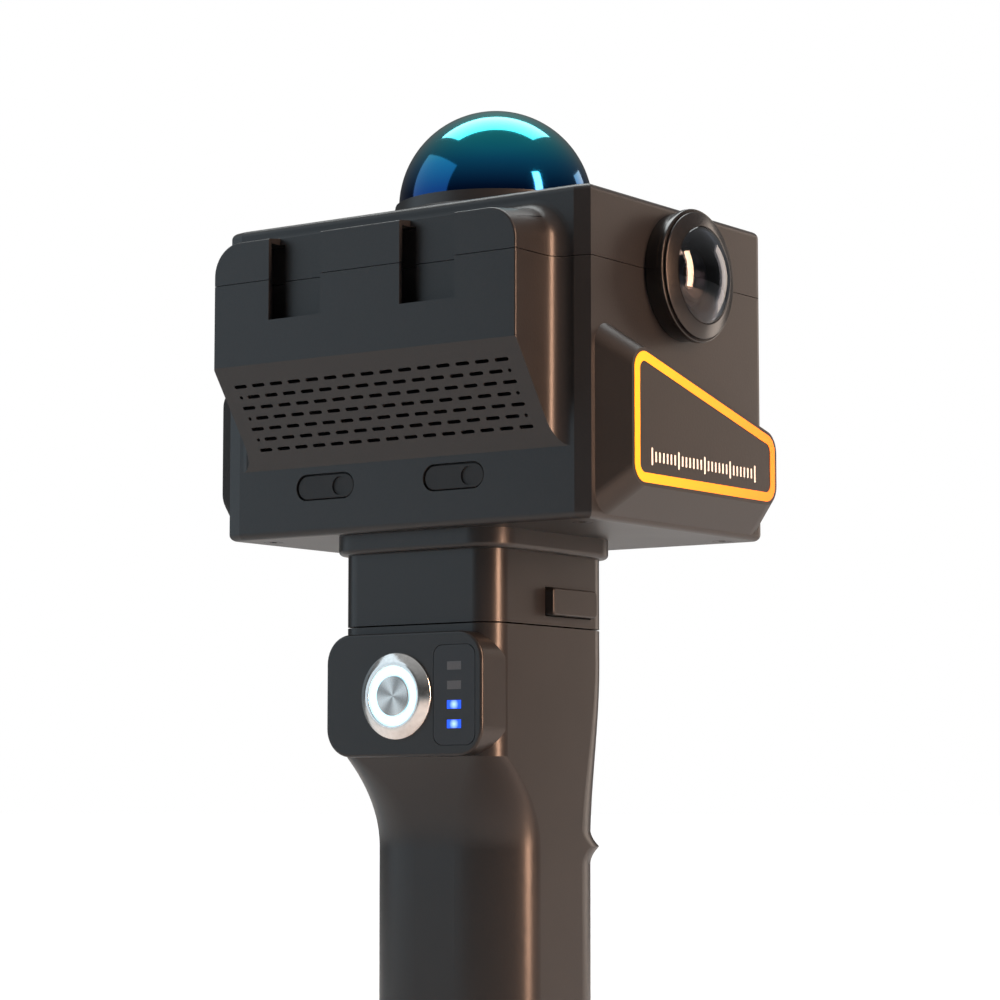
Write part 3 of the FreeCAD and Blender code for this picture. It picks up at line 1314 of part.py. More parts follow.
def make_fan():
    """A square fan that blows out through the vent, and its seven-bladed rotor."""
    half = "fan_side / 2"
    frame = block(("-" + half, half), ("fan_back", "fan_back + fan_thick"),
                  ("fan_middle - " + half, "fan_middle + " + half))
    bore = rod(half + " - fan_wall / 2", "fan_thick + 2",
               ("0", "fan_back - 1", "fan_middle"), "+Y")
    strut = block(("-" + half, half), ("fan_back + fan_thick - fan_wall", "fan_back + fan_thick"),
                  ("fan_middle - fan_wall", "fan_middle + fan_wall"))
    hub_seat = rod("fan_hub", "fan_wall",
                   ("0", "fan_back + fan_thick - fan_wall", "fan_middle"), "+Y")
    pin = rod("fan_pin", "fan_thick - fan_wall",
              ("0", "fan_back + fan_wall", "fan_middle"), "+Y")
    node("fan_frame", join(cut(frame, bore), strut, hub_seat, pin))

    hub_end = "fan_thick - fan_wall - fan_gap"
    hub = cut(rod("fan_hub", hub_end, ("0", "fan_back", "fan_middle"), "+Y"),
              rod("fan_pin + spindle_gap", "fan_thick",
                  ("0", "fan_back + fan_wall - 0.5", "fan_middle"), "+Y"))
    radius = read("fan_side") / 2 - read("fan_wall") / 2 - read("fan_gap")
    depth = read("fan_thick") - read("fan_wall") - 2 * read("fan_gap")
    centre = FreeCAD.Vector(0, read("fan_back"), read("fan_middle"))
    root = read("fan_hub") - 1
    blades = []
    count = int(read("blade_count"))
    for number in range(count):
        blade = Part.makeBox(radius - root, depth, read("blade_thick"),
                             FreeCAD.Vector(root, 0, -read("blade_thick") / 2))
        pitch = FreeCAD.Rotation(FreeCAD.Vector(1, 0, 0), 35)
        swing = FreeCAD.Rotation(FreeCAD.Vector(0, 1, 0), 360 * number / count)
        blade.Placement = FreeCAD.Placement(FreeCAD.Vector(0, read("fan_gap"), 0), swing)
        lean = FreeCAD.Placement(FreeCAD.Vector(0, depth / 2, 0), pitch,
                                 FreeCAD.Vector(0, 0, 0))
        unlean = FreeCAD.Placement(FreeCAD.Vector(0, -depth / 2, 0), FreeCAD.Rotation())
        blade.Placement = blade.Placement.multiply(lean).multiply(unlean)
        blade.translate(centre)
        blades.append(blade)
    reach = Part.makeCylinder(radius, read("fan_thick"), centre, FreeCAD.Vector(0, 1, 0))
    slab = Part.makeBox(4 * radius, depth, 4 * radius, centre + FreeCAD.Vector(
        -2 * radius, read("fan_gap"), -2 * radius))
    fan = blades[0].fuse(blades[1:]).common(reach).common(slab)
    node("fan_rotor", join(hub, shaped(fan)))


# --------------------------------------------------------------------------------------
# The whole scanner
# --------------------------------------------------------------------------------------
def faults():
    """Every object that failed to recompute, and every sub-part that is not a sound solid."""
    found = []
    for thing in doc.Objects:
        if {"Invalid", "Error"} & set(thing.State):
            found.append("%s: %s" % (thing.Name, thing.State))
    for thing in SUB_PARTS:
        shape = thing.Shape
        if shape.isNull() or not shape.isValid() or not shape.Solids:
            found.append("%s: not a sound solid" % thing.Label)
    return found


def main():
    make_handle()
    make_charge_window()
    make_power_button()
    make_battery()
    make_handle_cap()
    make_screws()
    make_neck()
    make_tongue()
    make_release_buttons()
    make_head_shells()
    make_vent_panel()
    make_ports()
    camera_pieces("", "right")
    camera_pieces("-", "left")
    make_side_covers()
    make_lidar()
    make_electronics()
    make_fan()
    doc.recompute()
    found = faults()
    if found:
        raise RuntimeError("; ".join(found))
    os.makedirs("parts", exist_ok=True)
    for thing in SUB_PARTS:
        thing.Shape.exportStep("parts/%s.step" % thing.Label)
        box = thing.Shape.BoundBox
        print("%-24s %2d solid(s) %10.1f mm3  x %.1f..%.1f y %.1f..%.1f z %.1f..%.1f" % (
            thing.Label, len(thing.Shape.Solids), thing.Shape.Volume,
            box.XMin, box.XMax, box.YMin, box.YMax, box.ZMin, box.ZMax))
    print(len(SUB_PARTS), "sub-parts")


main()
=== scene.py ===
# %% [markdown]
# # A handheld laser scanner, finished in Blender
# The scanner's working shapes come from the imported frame: a box-shaped head with a domed window,
# a camera on each side, and a battery handle. This lesson gives every piece its real finish, and
# remakes the polished, round and repeated pieces so that their highlights run as on the real one.

# %% Load the frame
import json
import math

import bmesh
import bpy
from mathutils import Matrix, Vector


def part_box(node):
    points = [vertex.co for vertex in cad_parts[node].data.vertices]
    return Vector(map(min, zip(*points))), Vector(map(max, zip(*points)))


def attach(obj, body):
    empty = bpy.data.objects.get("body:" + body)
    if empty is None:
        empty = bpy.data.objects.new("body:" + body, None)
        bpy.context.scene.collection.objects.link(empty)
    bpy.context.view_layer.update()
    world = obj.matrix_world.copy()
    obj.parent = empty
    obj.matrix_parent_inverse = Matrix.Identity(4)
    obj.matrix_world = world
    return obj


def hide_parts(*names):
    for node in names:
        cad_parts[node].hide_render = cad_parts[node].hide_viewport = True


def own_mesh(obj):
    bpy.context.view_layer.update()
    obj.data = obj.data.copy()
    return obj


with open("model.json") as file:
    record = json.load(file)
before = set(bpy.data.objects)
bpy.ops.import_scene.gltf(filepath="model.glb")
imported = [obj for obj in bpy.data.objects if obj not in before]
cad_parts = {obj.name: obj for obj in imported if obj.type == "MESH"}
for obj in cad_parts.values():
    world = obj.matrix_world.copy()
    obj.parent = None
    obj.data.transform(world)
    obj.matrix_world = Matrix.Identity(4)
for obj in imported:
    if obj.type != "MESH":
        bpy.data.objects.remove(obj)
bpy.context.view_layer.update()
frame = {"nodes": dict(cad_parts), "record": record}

MM = 0.001
BODY = "scanner"

# %% [markdown]
# ## Shared surface effects
# Moulded plastic is never quite smooth. Its mould is etched, so the skin has a fine grain, and
# hands polish it unevenly. Both could be painted on each material again and again, but a node
# group is made once and placed wherever it is needed, with its own sizes. The groups put out only
# values and normals, and the shader itself stays in each material.

# %% A node group for a fine moulded grain
def new_group(name, inputs, outputs):
    """An empty shader group with the given sockets, and its input and output nodes."""
    group = bpy.data.node_groups.new(name, "ShaderNodeTree")
    for socket, kind, value in inputs:
        made = group.interface.new_socket(name=socket, in_out="INPUT", socket_type=kind)
        if value is not None:
            made.default_value = value
    for socket, kind in outputs:
        group.interface.new_socket(name=socket, in_out="OUTPUT", socket_type=kind)
    enter = group.nodes.new("NodeGroupInput")
    leave = group.nodes.new("NodeGroupOutput")
    return group, enter, leave


def add(tree, kind, **settings):
    """A node of a kind, with its properties set."""
    made = tree.nodes.new(kind)
    for key, value in settings.items():
        setattr(made, key, value)
    return made


def math_node(tree, operation, *values):
    """A Math node whose inputs are numbers or sockets."""
    made = add(tree, "ShaderNodeMath", operation=operation)
    for socket, value in zip(made.inputs, values):
        if isinstance(value, (int, float)):
            socket.default_value = value
        else:
            tree.links.new(value, socket)
    return made.outputs[0]


def grain_group():
    """Fine etched grain, and broad patches where the skin is a little smoother."""
    group, enter, leave = new_group(
        "moulded grain",
        [("Vector", "NodeSocketVector", None), ("Grain per metre", "NodeSocketFloat", 1500.0),
         ("Depth", "NodeSocketFloat", 0.00002), ("Roughness", "NodeSocketFloat", 0.45),
         ("Patchiness", "NodeSocketFloat", 0.06)],
        [("Normal", "NodeSocketVector"), ("Roughness", "NodeSocketFloat"),
         ("Shade", "NodeSocketFloat")])
    links = group.links
    fine = add(group, "ShaderNodeTexNoise")
    fine.inputs["Detail"].default_value = 3.0
    links.new(enter.outputs["Vector"], fine.inputs["Vector"])
    links.new(enter.outputs["Grain per metre"], fine.inputs["Scale"])
    broad = add(group, "ShaderNodeTexNoise")
    broad.inputs["Scale"].default_value = 38.0
    broad.inputs["Detail"].default_value = 4.0
    links.new(enter.outputs["Vector"], broad.inputs["Vector"])
    bump = add(group, "ShaderNodeBump")
    bump.inputs["Strength"].default_value = 1.0
    links.new(enter.outputs["Depth"], bump.inputs["Distance"])
    links.new(fine.outputs["Fac"], bump.inputs["Height"])
    links.new(bump.outputs["Normal"], leave.inputs["Normal"])
    swing = math_node(group, "SUBTRACT", broad.outputs["Fac"], 0.5)
    patch = math_node(group, "MULTIPLY", swing, enter.outputs["Patchiness"])
    rough = math_node(group, "ADD", enter.outputs["Roughness"], patch)
    links.new(rough, leave.inputs["Roughness"])
    speck = math_node(group, "MULTIPLY_ADD", fine.outputs["Fac"], 0.3, 0.85)
    shade = math_node(group, "MULTIPLY_ADD", swing, 0.25, speck)
    links.new(shade, leave.inputs["Shade"])
    return group


GRAIN = grain_group()
print("group:", GRAIN.name, "with", len(GRAIN.nodes), "nodes")

# %% [markdown]
# ## Materials
# Every finish starts from one Principled shader. A plastic takes its grain, its slight change of
# shade and its roughness from the shared group. What differs between the plastics is the size of
# the grain and how far it scatters light, so these are arguments of one short function.

# %% Plastics
def new_material(name):
    """A material with one Principled shader, and Object coordinates in metres."""
    material = bpy.data.materials.new(name)
    material.use_nodes = True
    shader = material.node_tree.nodes["Principled BSDF"]
    where = add(material.node_tree, "ShaderNodeTexCoord")
    return material, material.node_tree, shader, where.outputs["Object"]


def tinted(tree, shade, colour):
    """A colour made lighter and darker by a shade value."""
    mix = add(tree, "ShaderNodeMix", data_type="RGBA", blend_type="MULTIPLY")
    mix.inputs["Factor"].default_value = 1.0
    mix.inputs["A"].default_value = (*colour, 1.0)
    tree.links.new(shade, mix.inputs["B"])
    return mix.outputs["Result"]


def plastic(name, colour, roughness, grain=1500.0, depth=0.00002, patchiness=0.06):
    material, tree, shader, where = new_material(name)
    skin = add(tree, "ShaderNodeGroup", node_tree=GRAIN)
    tree.links.new(where, skin.inputs["Vector"])
    skin.inputs["Grain per metre"].default_value = grain
    skin.inputs["Depth"].default_value = depth
    skin.inputs["Roughness"].default_value = roughness
    skin.inputs["Patchiness"].default_value = patchiness
    tree.links.new(tinted(tree, skin.outputs["Shade"], colour), shader.inputs["Base Color"])
    tree.links.new(skin.outputs["Roughness"], shader.inputs["Roughness"])
    tree.links.new(skin.outputs["Normal"], shader.inputs["Normal"])
    return material


SHELL = plastic("charcoal shell", (0.0145, 0.0145, 0.0155), 0.36, depth=0.000022)
GRIP = plastic("soft grip", (0.0135, 0.0130, 0.0135), 0.32, grain=2200.0, depth=0.000012)
COVER = plastic("side cover plastic", (0.0125, 0.012, 0.012), 0.38, grain=1300.0)
RUBBER = plastic("soft rubber", (0.012, 0.0125, 0.014), 0.55, grain=2600.0)
DARK = plastic("lens black", (0.006, 0.006, 0.007), 0.30, grain=3000.0, depth=0.000006)
INNER = plastic("inner moulding", (0.05, 0.05, 0.054), 0.5)
WINDOW = plastic("charge window", (0.016, 0.017, 0.020), 0.34, grain=3000.0, depth=0.000006)
UNLIT = plastic("unlit light", (0.10, 0.10, 0.105), 0.4, grain=2500.0, depth=0.000005)
CELL = plastic("cell wrap", (0.03, 0.12, 0.32), 0.3, grain=600.0, depth=0.00001)
PRINT = plastic("white print", (0.80, 0.80, 0.79), 0.42, grain=2600.0, depth=0.000004)
print("plastics:", SHELL.name, GRIP.name, COVER.name, RUBBER.name)

# %% [markdown]
# Turned and brushed metal shows the tool that made it: rings round a lathe's axis, or fine lines
# along a belt. Rings could be modelled, but they are finer than a hair, so they are a noise
# stretched along the direction in which the tool ran, and it drives roughness and bump only.

# %% Metals
def metal(name, colour, roughness, stretch=(400.0, 400.0, 6000.0), depth=0.000004):
    material, tree, shader, where = new_material(name)
    spread = add(tree, "ShaderNodeMapping")
    spread.inputs["Scale"].default_value = stretch
    tree.links.new(where, spread.inputs["Vector"])
    lines = add(tree, "ShaderNodeTexNoise")
    lines.inputs["Scale"].default_value = 1.0
    lines.inputs["Detail"].default_value = 2.0
    tree.links.new(spread.outputs["Vector"], lines.inputs["Vector"])
    rough = math_node(tree, "MULTIPLY_ADD", lines.outputs["Fac"], 0.16, roughness - 0.08)
    tree.links.new(rough, shader.inputs["Roughness"])
    shade = math_node(tree, "MULTIPLY_ADD", lines.outputs["Fac"], 0.3, 0.85)
    tree.links.new(tinted(tree, shade, colour), shader.inputs["Base Color"])
    bump = add(tree, "ShaderNodeBump")
    bump.inputs["Distance"].default_value = depth
    tree.links.new(lines.outputs["Fac"], bump.inputs["Height"])
    tree.links.new(bump.outputs["Normal"], shader.inputs["Normal"])
    shader.inputs["Metallic"].default_value = 1.0
    return material


ANODISED = metal("black anodised metal", (0.030, 0.030, 0.033), 0.30)
CHROME = metal("polished bezel", (0.80, 0.79, 0.77), 0.14, (900.0, 900.0, 900.0), 0.000002)
STEEL = metal("plated steel", (0.52, 0.52, 0.54), 0.34)
BRASS = metal("brass", (0.72, 0.52, 0.22), 0.30)
ALLOY = metal("machined alloy", (0.62, 0.62, 0.64), 0.36)
COPPER = metal("copper winding", (0.75, 0.33, 0.18), 0.35)
OXIDE = metal("black oxide steel", (0.045, 0.045, 0.048), 0.38)
print("metals:", ANODISED.name, CHROME.name, STEEL.name)

# %% [markdown]
# The rest are finishes that change over one piece. The scanner's window carries a mirror coating
# that lets only the laser's infrared through. Its tint turns from teal to deep blue near its foot,
# so its colour follows the height, and it is painted much lighter at the crown as a painted
# reflection of the light above. The stripe's paint goes from yellow to orange and has a faint
# painted glow.
# The lights are lamps behind frosted plastic, brighter in the middle than at the rim. The boards
# have green solder mask with fine copper tracks under it.

# %% Coatings, lights and boards
def ramp(tree, value, stops):
    """A colour ramp fed by a value, with its stops as (position, colour)."""
    made = add(tree, "ShaderNodeValToRGB")
    elements = made.color_ramp.elements
    while len(elements) < len(stops):
        elements.new(0.5)
    for element, (position, colour) in zip(elements, stops):
        element.position = position
        element.color = (*colour, 1.0)
    tree.links.new(value, made.inputs["Fac"])
    return made.outputs["Color"]


def share_along(tree, where, axis, low, high):
    """How far a point lies from low to high along one axis, from 0 to 1."""
    split = add(tree, "ShaderNodeSeparateXYZ")
    tree.links.new(where, split.inputs["Vector"])
    spread = add(tree, "ShaderNodeMapRange")
    spread.inputs["From Min"].default_value = low
    spread.inputs["From Max"].default_value = high
    tree.links.new(split.outputs[axis], spread.inputs["Value"])
    return spread.outputs["Result"]


def dome_coating_with_painted_sheen(low, high):
    material, tree, shader, where = new_material("teal mirror coating with painted crown sheen")
    height = share_along(tree, where, "Z", low, high)
    waver = add(tree, "ShaderNodeTexNoise")
    waver.inputs["Scale"].default_value = 30.0
    tree.links.new(where, waver.inputs["Vector"])
    shifted = math_node(tree, "MULTIPLY_ADD", waver.outputs["Fac"], 0.06, -0.03)
    # Painted reflection: the ramp goes from deep blue at the foot to teal, the coating's tint, and
    # grows much lighter at the crown to stand for the light above.
    colour = ramp(tree, math_node(tree, "ADD", height, shifted), (
        (0.0, (0.003, 0.050, 0.20)), (0.30, (0.003, 0.13, 0.27)), (0.55, (0.004, 0.24, 0.30)),
        (0.85, (0.008, 0.38, 0.38)), (1.0, (0.03, 0.60, 0.55))))
    tree.links.new(colour, shader.inputs["Base Color"])
    rough = math_node(tree, "MULTIPLY_ADD", waver.outputs["Fac"], 0.05, 0.06)
    tree.links.new(rough, shader.inputs["Roughness"])
    shader.inputs["Metallic"].default_value = 1.0
    shader.inputs["Coat Weight"].default_value = 0.12
    shader.inputs["Coat Roughness"].default_value = 0.03
    return material


def stripe_paint_with_painted_glow(low, high):
    material, tree, shader, where = new_material("stripe paint with painted glow")
    run = share_along(tree, where, "Y", low, high)
    fleck = add(tree, "ShaderNodeTexNoise")
    fleck.inputs["Scale"].default_value = 2500.0
    tree.links.new(where, fleck.inputs["Vector"])
    run = math_node(tree, "ADD", run, math_node(tree, "MULTIPLY_ADD", fleck.outputs["Fac"],
                                                0.12, -0.06))
    colour = ramp(tree, run, ((0.0, (1.0, 0.40, 0.005)), (1.0, (1.0, 0.22, 0.003))))
    tree.links.new(colour, shader.inputs["Base Color"])
    # Painted glow: the paint's own colour is also sent out as a faint emission, though the stripe
    # is no lamp.
    tree.links.new(colour, shader.inputs["Emission Color"])
    shader.inputs["Emission Strength"].default_value = 0.30
    rough = math_node(tree, "MULTIPLY_ADD", fleck.outputs["Fac"], 0.12, 0.32)
    tree.links.new(rough, shader.inputs["Roughness"])
    return material


def lamp_plastic(name, base, middle_colour, rim_colour, strength, centre, reach, apart=0.0):
    """Frosted plastic over lamps, brightest at each lamp: one, or two some way apart in height."""
    material, tree, shader, where = new_material(name)
    shader.inputs["Base Color"].default_value = (*base, 1.0)
    shift = add(tree, "ShaderNodeVectorMath", operation="SUBTRACT")
    shift.inputs[1].default_value = centre
    tree.links.new(where, shift.inputs[0])
    split = add(tree, "ShaderNodeSeparateXYZ")
    tree.links.new(shift.outputs["Vector"], split.inputs["Vector"])
    height = math_node(tree, "ABSOLUTE", split.outputs["Z"])
    flat = add(tree, "ShaderNodeCombineXYZ")
    tree.links.new(split.outputs["X"], flat.inputs["X"])
    tree.links.new(math_node(tree, "SUBTRACT", height, apart / 2), flat.inputs["Z"])
    away = add(tree, "ShaderNodeVectorMath", operation="LENGTH")
    tree.links.new(flat.outputs["Vector"], away.inputs[0])
    frost = add(tree, "ShaderNodeTexNoise")
    frost.inputs["Scale"].default_value = 4000.0
    tree.links.new(where, frost.inputs["Vector"])
    share = math_node(tree, "DIVIDE", away.outputs["Value"], reach)
    share = math_node(tree, "ADD", share, math_node(tree, "MULTIPLY_ADD",
                                                    frost.outputs["Fac"], 0.1, -0.05))
    colour = ramp(tree, share, ((0.0, middle_colour), (0.45, rim_colour), (1.0, rim_colour)))
    tree.links.new(colour, shader.inputs["Emission Color"])
    shader.inputs["Emission Strength"].default_value = strength
    rough = math_node(tree, "MULTIPLY_ADD", frost.outputs["Fac"], 0.2, 0.25)
    tree.links.new(rough, shader.inputs["Roughness"])
    return material


def clear_glass(name, tint, coat, roughness=0.01):
    """Dark coated glass, with a thin film's colour in what it reflects at a glance."""
    material, tree, shader, where = new_material(name)
    film = add(tree, "ShaderNodeTexNoise")
    film.inputs["Scale"].default_value = 45.0
    tree.links.new(where, film.inputs["Vector"])
    smear = math_node(tree, "MULTIPLY_ADD", film.outputs["Fac"], 0.04, roughness)
    tree.links.new(smear, shader.inputs["Roughness"])
    tree.links.new(ramp(tree, film.outputs["Fac"], ((0.3, tint), (0.7, coat))),
                   shader.inputs["Base Color"])
    shader.inputs["Transmission Weight"].default_value = 1.0
    shader.inputs["IOR"].default_value = 1.45
    return material


def circuit_board():
    material, tree, shader, where = new_material("solder mask")
    tracks = add(tree, "ShaderNodeTexBrick")
    tracks.inputs["Scale"].default_value = 260.0
    tracks.inputs["Mortar Size"].default_value = 0.06
    tracks.inputs["Color1"].default_value = (0.010, 0.10, 0.045, 1.0)
    tracks.inputs["Color2"].default_value = (0.012, 0.12, 0.052, 1.0)
    tracks.inputs["Mortar"].default_value = (0.03, 0.20, 0.08, 1.0)
    tree.links.new(where, tracks.inputs["Vector"])
    tree.links.new(tracks.outputs["Color"], shader.inputs["Base Color"])
    bump = add(tree, "ShaderNodeBump")
    bump.inputs["Distance"].default_value = 0.00003
    tree.links.new(tracks.outputs["Fac"], bump.inputs["Height"])
    tree.links.new(bump.outputs["Normal"], shader.inputs["Normal"])
    shader.inputs["Roughness"].default_value = 0.3
    return material


COATING_FOOT, RING_REACH, LIGHT_REACH, LIGHTS_APART = 7.0, 12.0, 3.4, 5.27
DOME_LOW, DOME_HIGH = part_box("lidar_dome")
STRIPE_LOW, STRIPE_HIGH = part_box("right_side_stripe")
RING_LOW, RING_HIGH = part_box("power_light_ring")
RING_MIDDLE = [(low + high) / 2 for low, high in zip(RING_LOW, RING_HIGH)]
LIT_LOW, LIT_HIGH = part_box("charge_lights_lit")
LIT_MIDDLE = [(low + high) / 2 for low, high in zip(LIT_LOW, LIT_HIGH)]
DOME_COATING_AND_PAINTED_SHEEN = dome_coating_with_painted_sheen(DOME_LOW[2] + COATING_FOOT * MM, DOME_HIGH[2])
STRIPE = stripe_paint_with_painted_glow(STRIPE_LOW[1], STRIPE_HIGH[1])
HALO = lamp_plastic("lit ring", (0.8, 0.95, 1.0), (0.9, 1.0, 1.0), (0.42, 0.80, 1.0), 1.35,
                    RING_MIDDLE, RING_REACH * MM)
LIT = lamp_plastic("lit charge light", (0.02, 0.06, 0.5), (0.45, 0.70, 1.0),
                   (0.0, 0.07, 1.0), 1.5, LIT_MIDDLE, LIGHT_REACH * MM, LIGHTS_APART * MM)
GLASS = clear_glass("camera glass", (0.20, 0.22, 0.26), (0.26, 0.29, 0.38))
ELEMENT = clear_glass("coated element", (0.55, 0.30, 0.20), (0.75, 0.45, 0.28))
BOARD = circuit_board()
MIRROR = metal("silvered mirror", (0.92, 0.92, 0.94), 0.09, (200.0, 200.0, 200.0), 0.0)
print("coatings:", DOME_COATING_AND_PAINTED_SHEEN.name, STRIPE.name, HALO.name, LIT.name, GLASS.name, BOARD.name)

# %% [markdown]
# Most CAD pieces keep their shape and only need the finish of their slot. Naming a material for
# every piece would be long and easy to get wrong, so one table goes from slot to finish.

# %% Everything keeps a first finish by its slot
BY_SLOT = {
    "shell_plastic": SHELL, "grip_plastic": GRIP, "cover_plastic": COVER, "vent_plastic": SHELL,
    "soft_rubber": RUBBER, "ring_metal": ANODISED, "lens_black": DARK, "bezel_chrome": CHROME,
    "button_metal": STEEL, "window_plastic": WINDOW, "light_off": UNLIT, "steel": STEEL,
    "brass": BRASS, "insert_metal": STEEL, "alloy": ALLOY, "cell_wrap": CELL,
    "inner_plastic": INNER, "copper": COPPER, "dome_window": DOME_COATING_AND_PAINTED_SHEEN, "stripe": STRIPE,
    "light_ring": HALO, "light_on": LIT, "camera_glass": GLASS, "lens_coated": ELEMENT,
    "board": BOARD, "mirror": MIRROR,
}


def paint(piece, material):
    """One material over the whole piece."""
    piece.data.materials.clear()
    piece.data.materials.append(material)


for part in frame["record"]["subparts"]:
    paint(frame["nodes"][part["node"]], BY_SLOT[part["material_slot"]])

# %% [markdown]
# ## Turned pieces
# A lathe makes a round piece by turning one outline about an axis, and so does this helper. The
# outline is a closed loop of radii and heights, with its corners eased first, because no real
# edge is sharp and the ease is what catches the light. The same helper can shift a ring's
# vertices by their angle, which is all that a screw thread needs.

# %% An outline turned about an axis
def eased(outline, sizes, steps=4):
    """The outline with some corners replaced by arcs; sizes is {corner number: length}."""
    out = []
    for number, point in enumerate(outline):
        size = sizes.get(number, 0.0)
        if not size:
            out.append(point)
            continue
        here = Vector(point)
        before = (Vector(outline[number - 1]) - here).normalized() * size
        after = (Vector(outline[(number + 1) % len(outline)]) - here).normalized() * size
        for step in range(steps + 1):
            t = step / steps
            out.append(tuple(here + before * (1 - t) ** 2 + after * t ** 2))
    return out


def lathe(name, outline, at, axis, material, segments=96, warp=None, sharp=30.0):
    """A closed outline of (radius, height) in mm, turned about an axis through a point."""
    mesh = bmesh.new()
    turn = Vector(axis).to_track_quat("Z", "Y").to_matrix().to_4x4()
    frame_of_piece = Matrix.Translation(at) @ turn
    rings = []
    for radius, height in outline:
        if abs(radius) < 1e-6:
            rings.append([mesh.verts.new(frame_of_piece @ Vector((0, 0, height * MM)))])
            continue
        ring = []
        for step in range(segments):
            angle = 2 * math.pi * step / segments
            real = warp(radius, height, angle) if warp else radius
            spot = Vector((real * math.cos(angle), real * math.sin(angle), height)) * MM
            ring.append(mesh.verts.new(frame_of_piece @ spot))
        rings.append(ring)
    for number, ring in enumerate(rings):
        after = rings[(number + 1) % len(rings)]
        if len(ring) == 1 and len(after) == 1:
            continue
        for step in range(segments):
            other = (step + 1) % segments
            corners = [ring[step % len(ring)], ring[other % len(ring)],
                       after[other % len(after)], after[step % len(after)]]
            mesh.faces.new(list(dict.fromkeys(corners)))
    bmesh.ops.recalc_face_normals(mesh, faces=mesh.faces)
    data = bpy.data.meshes.new(name)
    mesh.to_mesh(data)
    mesh.free()
    data.shade_smooth()
    data.set_sharp_from_angle(angle=math.radians(sharp))
    piece = bpy.data.objects.new(name, data)
    bpy.context.scene.collection.objects.link(piece)
    paint(piece, material)
    return piece


def settle(piece, body, slot, *nodes):
    """The piece rides on its body and stands for its CAD nodes; slot is not used."""
    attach(piece, body)
    if nodes:
        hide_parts(*nodes)
    print(piece.name, "with", len(piece.data.polygons), "faces on", body)


def arc(radius, centre, start, end, steps):
    """Points of an arc in an outline, between two angles in degrees."""
    out = []
    for step in range(steps + 1):
        angle = math.radians(start + (end - start) * step / steps)
        out.append((radius * math.cos(angle), centre + radius * math.sin(angle)))
    out[-1] = (0.0, out[-1][1]) if abs(end) == 90 else out[-1]
    return out


# %% [markdown]
# ## The domed window
# The window is one moulded bowl, 2 mm thick here. A sphere primitive would have no wall and no
# straight foot, so its outline is drawn as two arcs, outside and inside, and turned.

# %% Domed window
def middle_of(box):
    return [(low + high) / 2 for low, high in zip(*box)]


def make_dome():
    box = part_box("lidar_dome")
    centre = middle_of(box)
    radius = (box[1][0] - box[0][0]) / 2 / MM
    skirt = (box[1][2] - box[0][2]) / MM - radius
    wall = 2.0
    outer = [(radius, 0.0)] + arc(radius, skirt, 0, 90, 40)
    inner = list(reversed(arc(radius - wall, skirt, 0, 90, 30)))
    outline = outer + inner + [(radius - wall, 0.0)]
    piece = lathe("domed_window", outline, (centre[0], centre[1], box[0][2]), (0, 0, 1), DOME_COATING_AND_PAINTED_SHEEN,
                  128)
    settle(piece, BODY, "dome_window", "lidar_dome")


make_dome()

# %% [markdown]
# ## The cameras
# Each camera is a stack of turned pieces: a barrel with a stepped foot, a front ring with a fine
# groove behind it, a bulging front glass, and behind the glass the lens cell with its own front
# element. The glass only looks right if it has two surfaces and a dark cell behind it.

# %% Cameras
BORE, TUBE, STAND, REAR_RING, FRONT_RING = 10.0, 14.0, 17.9, 18.6, 17.6
TUBE_DEPTH, STAND_LENGTH, RING_BACK, RING_FACE, GROOVE = 10.0, 4.3, 6.1, 8.2, 0.3
GLASS_EDGE, GLASS_RISE, GLASS_WALL = 13.5, 4.9, 1.5
CELL_RING, ELEMENT_EDGE, CELL_STEP = 7.2, 3.0, 2.0
print("camera sizes in mm: tube", TUBE, "stand", STAND, "rings", REAR_RING, FRONT_RING)


def camera_place(side):
    """The centre of a camera on the head's side wall, and the direction in which it looks."""
    ring = middle_of(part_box(side + "_camera_ring"))
    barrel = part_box(side + "_camera_barrel")
    way = 1 if side == "right" else -1
    outer = barrel[1][0] if way > 0 else -barrel[0][0]
    foot = outer - RING_BACK * MM
    return (way * foot, ring[1], ring[2]), (way, 0, 0)


def make_camera_pieces(side):
    at, axis = camera_place(side)
    sunk = -0.1
    barrel = eased([(BORE, -TUBE_DEPTH), (TUBE, -TUBE_DEPTH), (TUBE, sunk), (STAND, sunk),
                    (STAND, STAND_LENGTH), (REAR_RING, STAND_LENGTH), (REAR_RING, RING_BACK),
                    (BORE, RING_BACK)], {3: 0.3, 5: 0.35, 6: 0.45})
    settle(lathe(side + "_barrel", barrel, at, axis, BARREL), BODY, "ring_metal",
           side + "_camera_barrel")
    neck, lip = FRONT_RING - 2 * GROOVE, RING_BACK + GROOVE
    ring = eased([(GLASS_EDGE, RING_BACK), (neck, RING_BACK), (neck, lip), (FRONT_RING, lip),
                  (FRONT_RING, lip + 0.4), (GLASS_EDGE + 0.3, RING_FACE),
                  (GLASS_EDGE, RING_FACE)], {4: 0.25, 5: 0.15})
    settle(lathe(side + "_front_ring", ring, at, axis, BARREL), BODY, "ring_metal",
           side + "_camera_ring")
    deep, top = 1.5 * CELL_STEP, 4.7
    cell = eased([(ELEMENT_EDGE, 0.0), (BORE, 0.0), (BORE, CELL_STEP), (CELL_RING + 1, CELL_STEP),
                  (CELL_RING, top), (CELL_RING - 1.2, top), (ELEMENT_EDGE + 0.4, deep),
                  (ELEMENT_EDGE, deep)], {3: 0.3, 4: 0.25, 5: 0.25})
    settle(lathe(side + "_cell", cell, at, axis, DARK), BODY, "lens_black",
           side + "_lens_cell")
    element = [(0.0, 1.0), (ELEMENT_EDGE, 1.0), (ELEMENT_EDGE, deep), (2.6, 3.5), (1.6, 4.1),
               (0.9, 4.3), (0.0, 4.4)]
    settle(lathe(side + "_element", element, at, axis, PAINTED_PUPIL_ELEMENT, 64, None, 60.0), BODY,
           "lens_coated", side + "_lens_element")


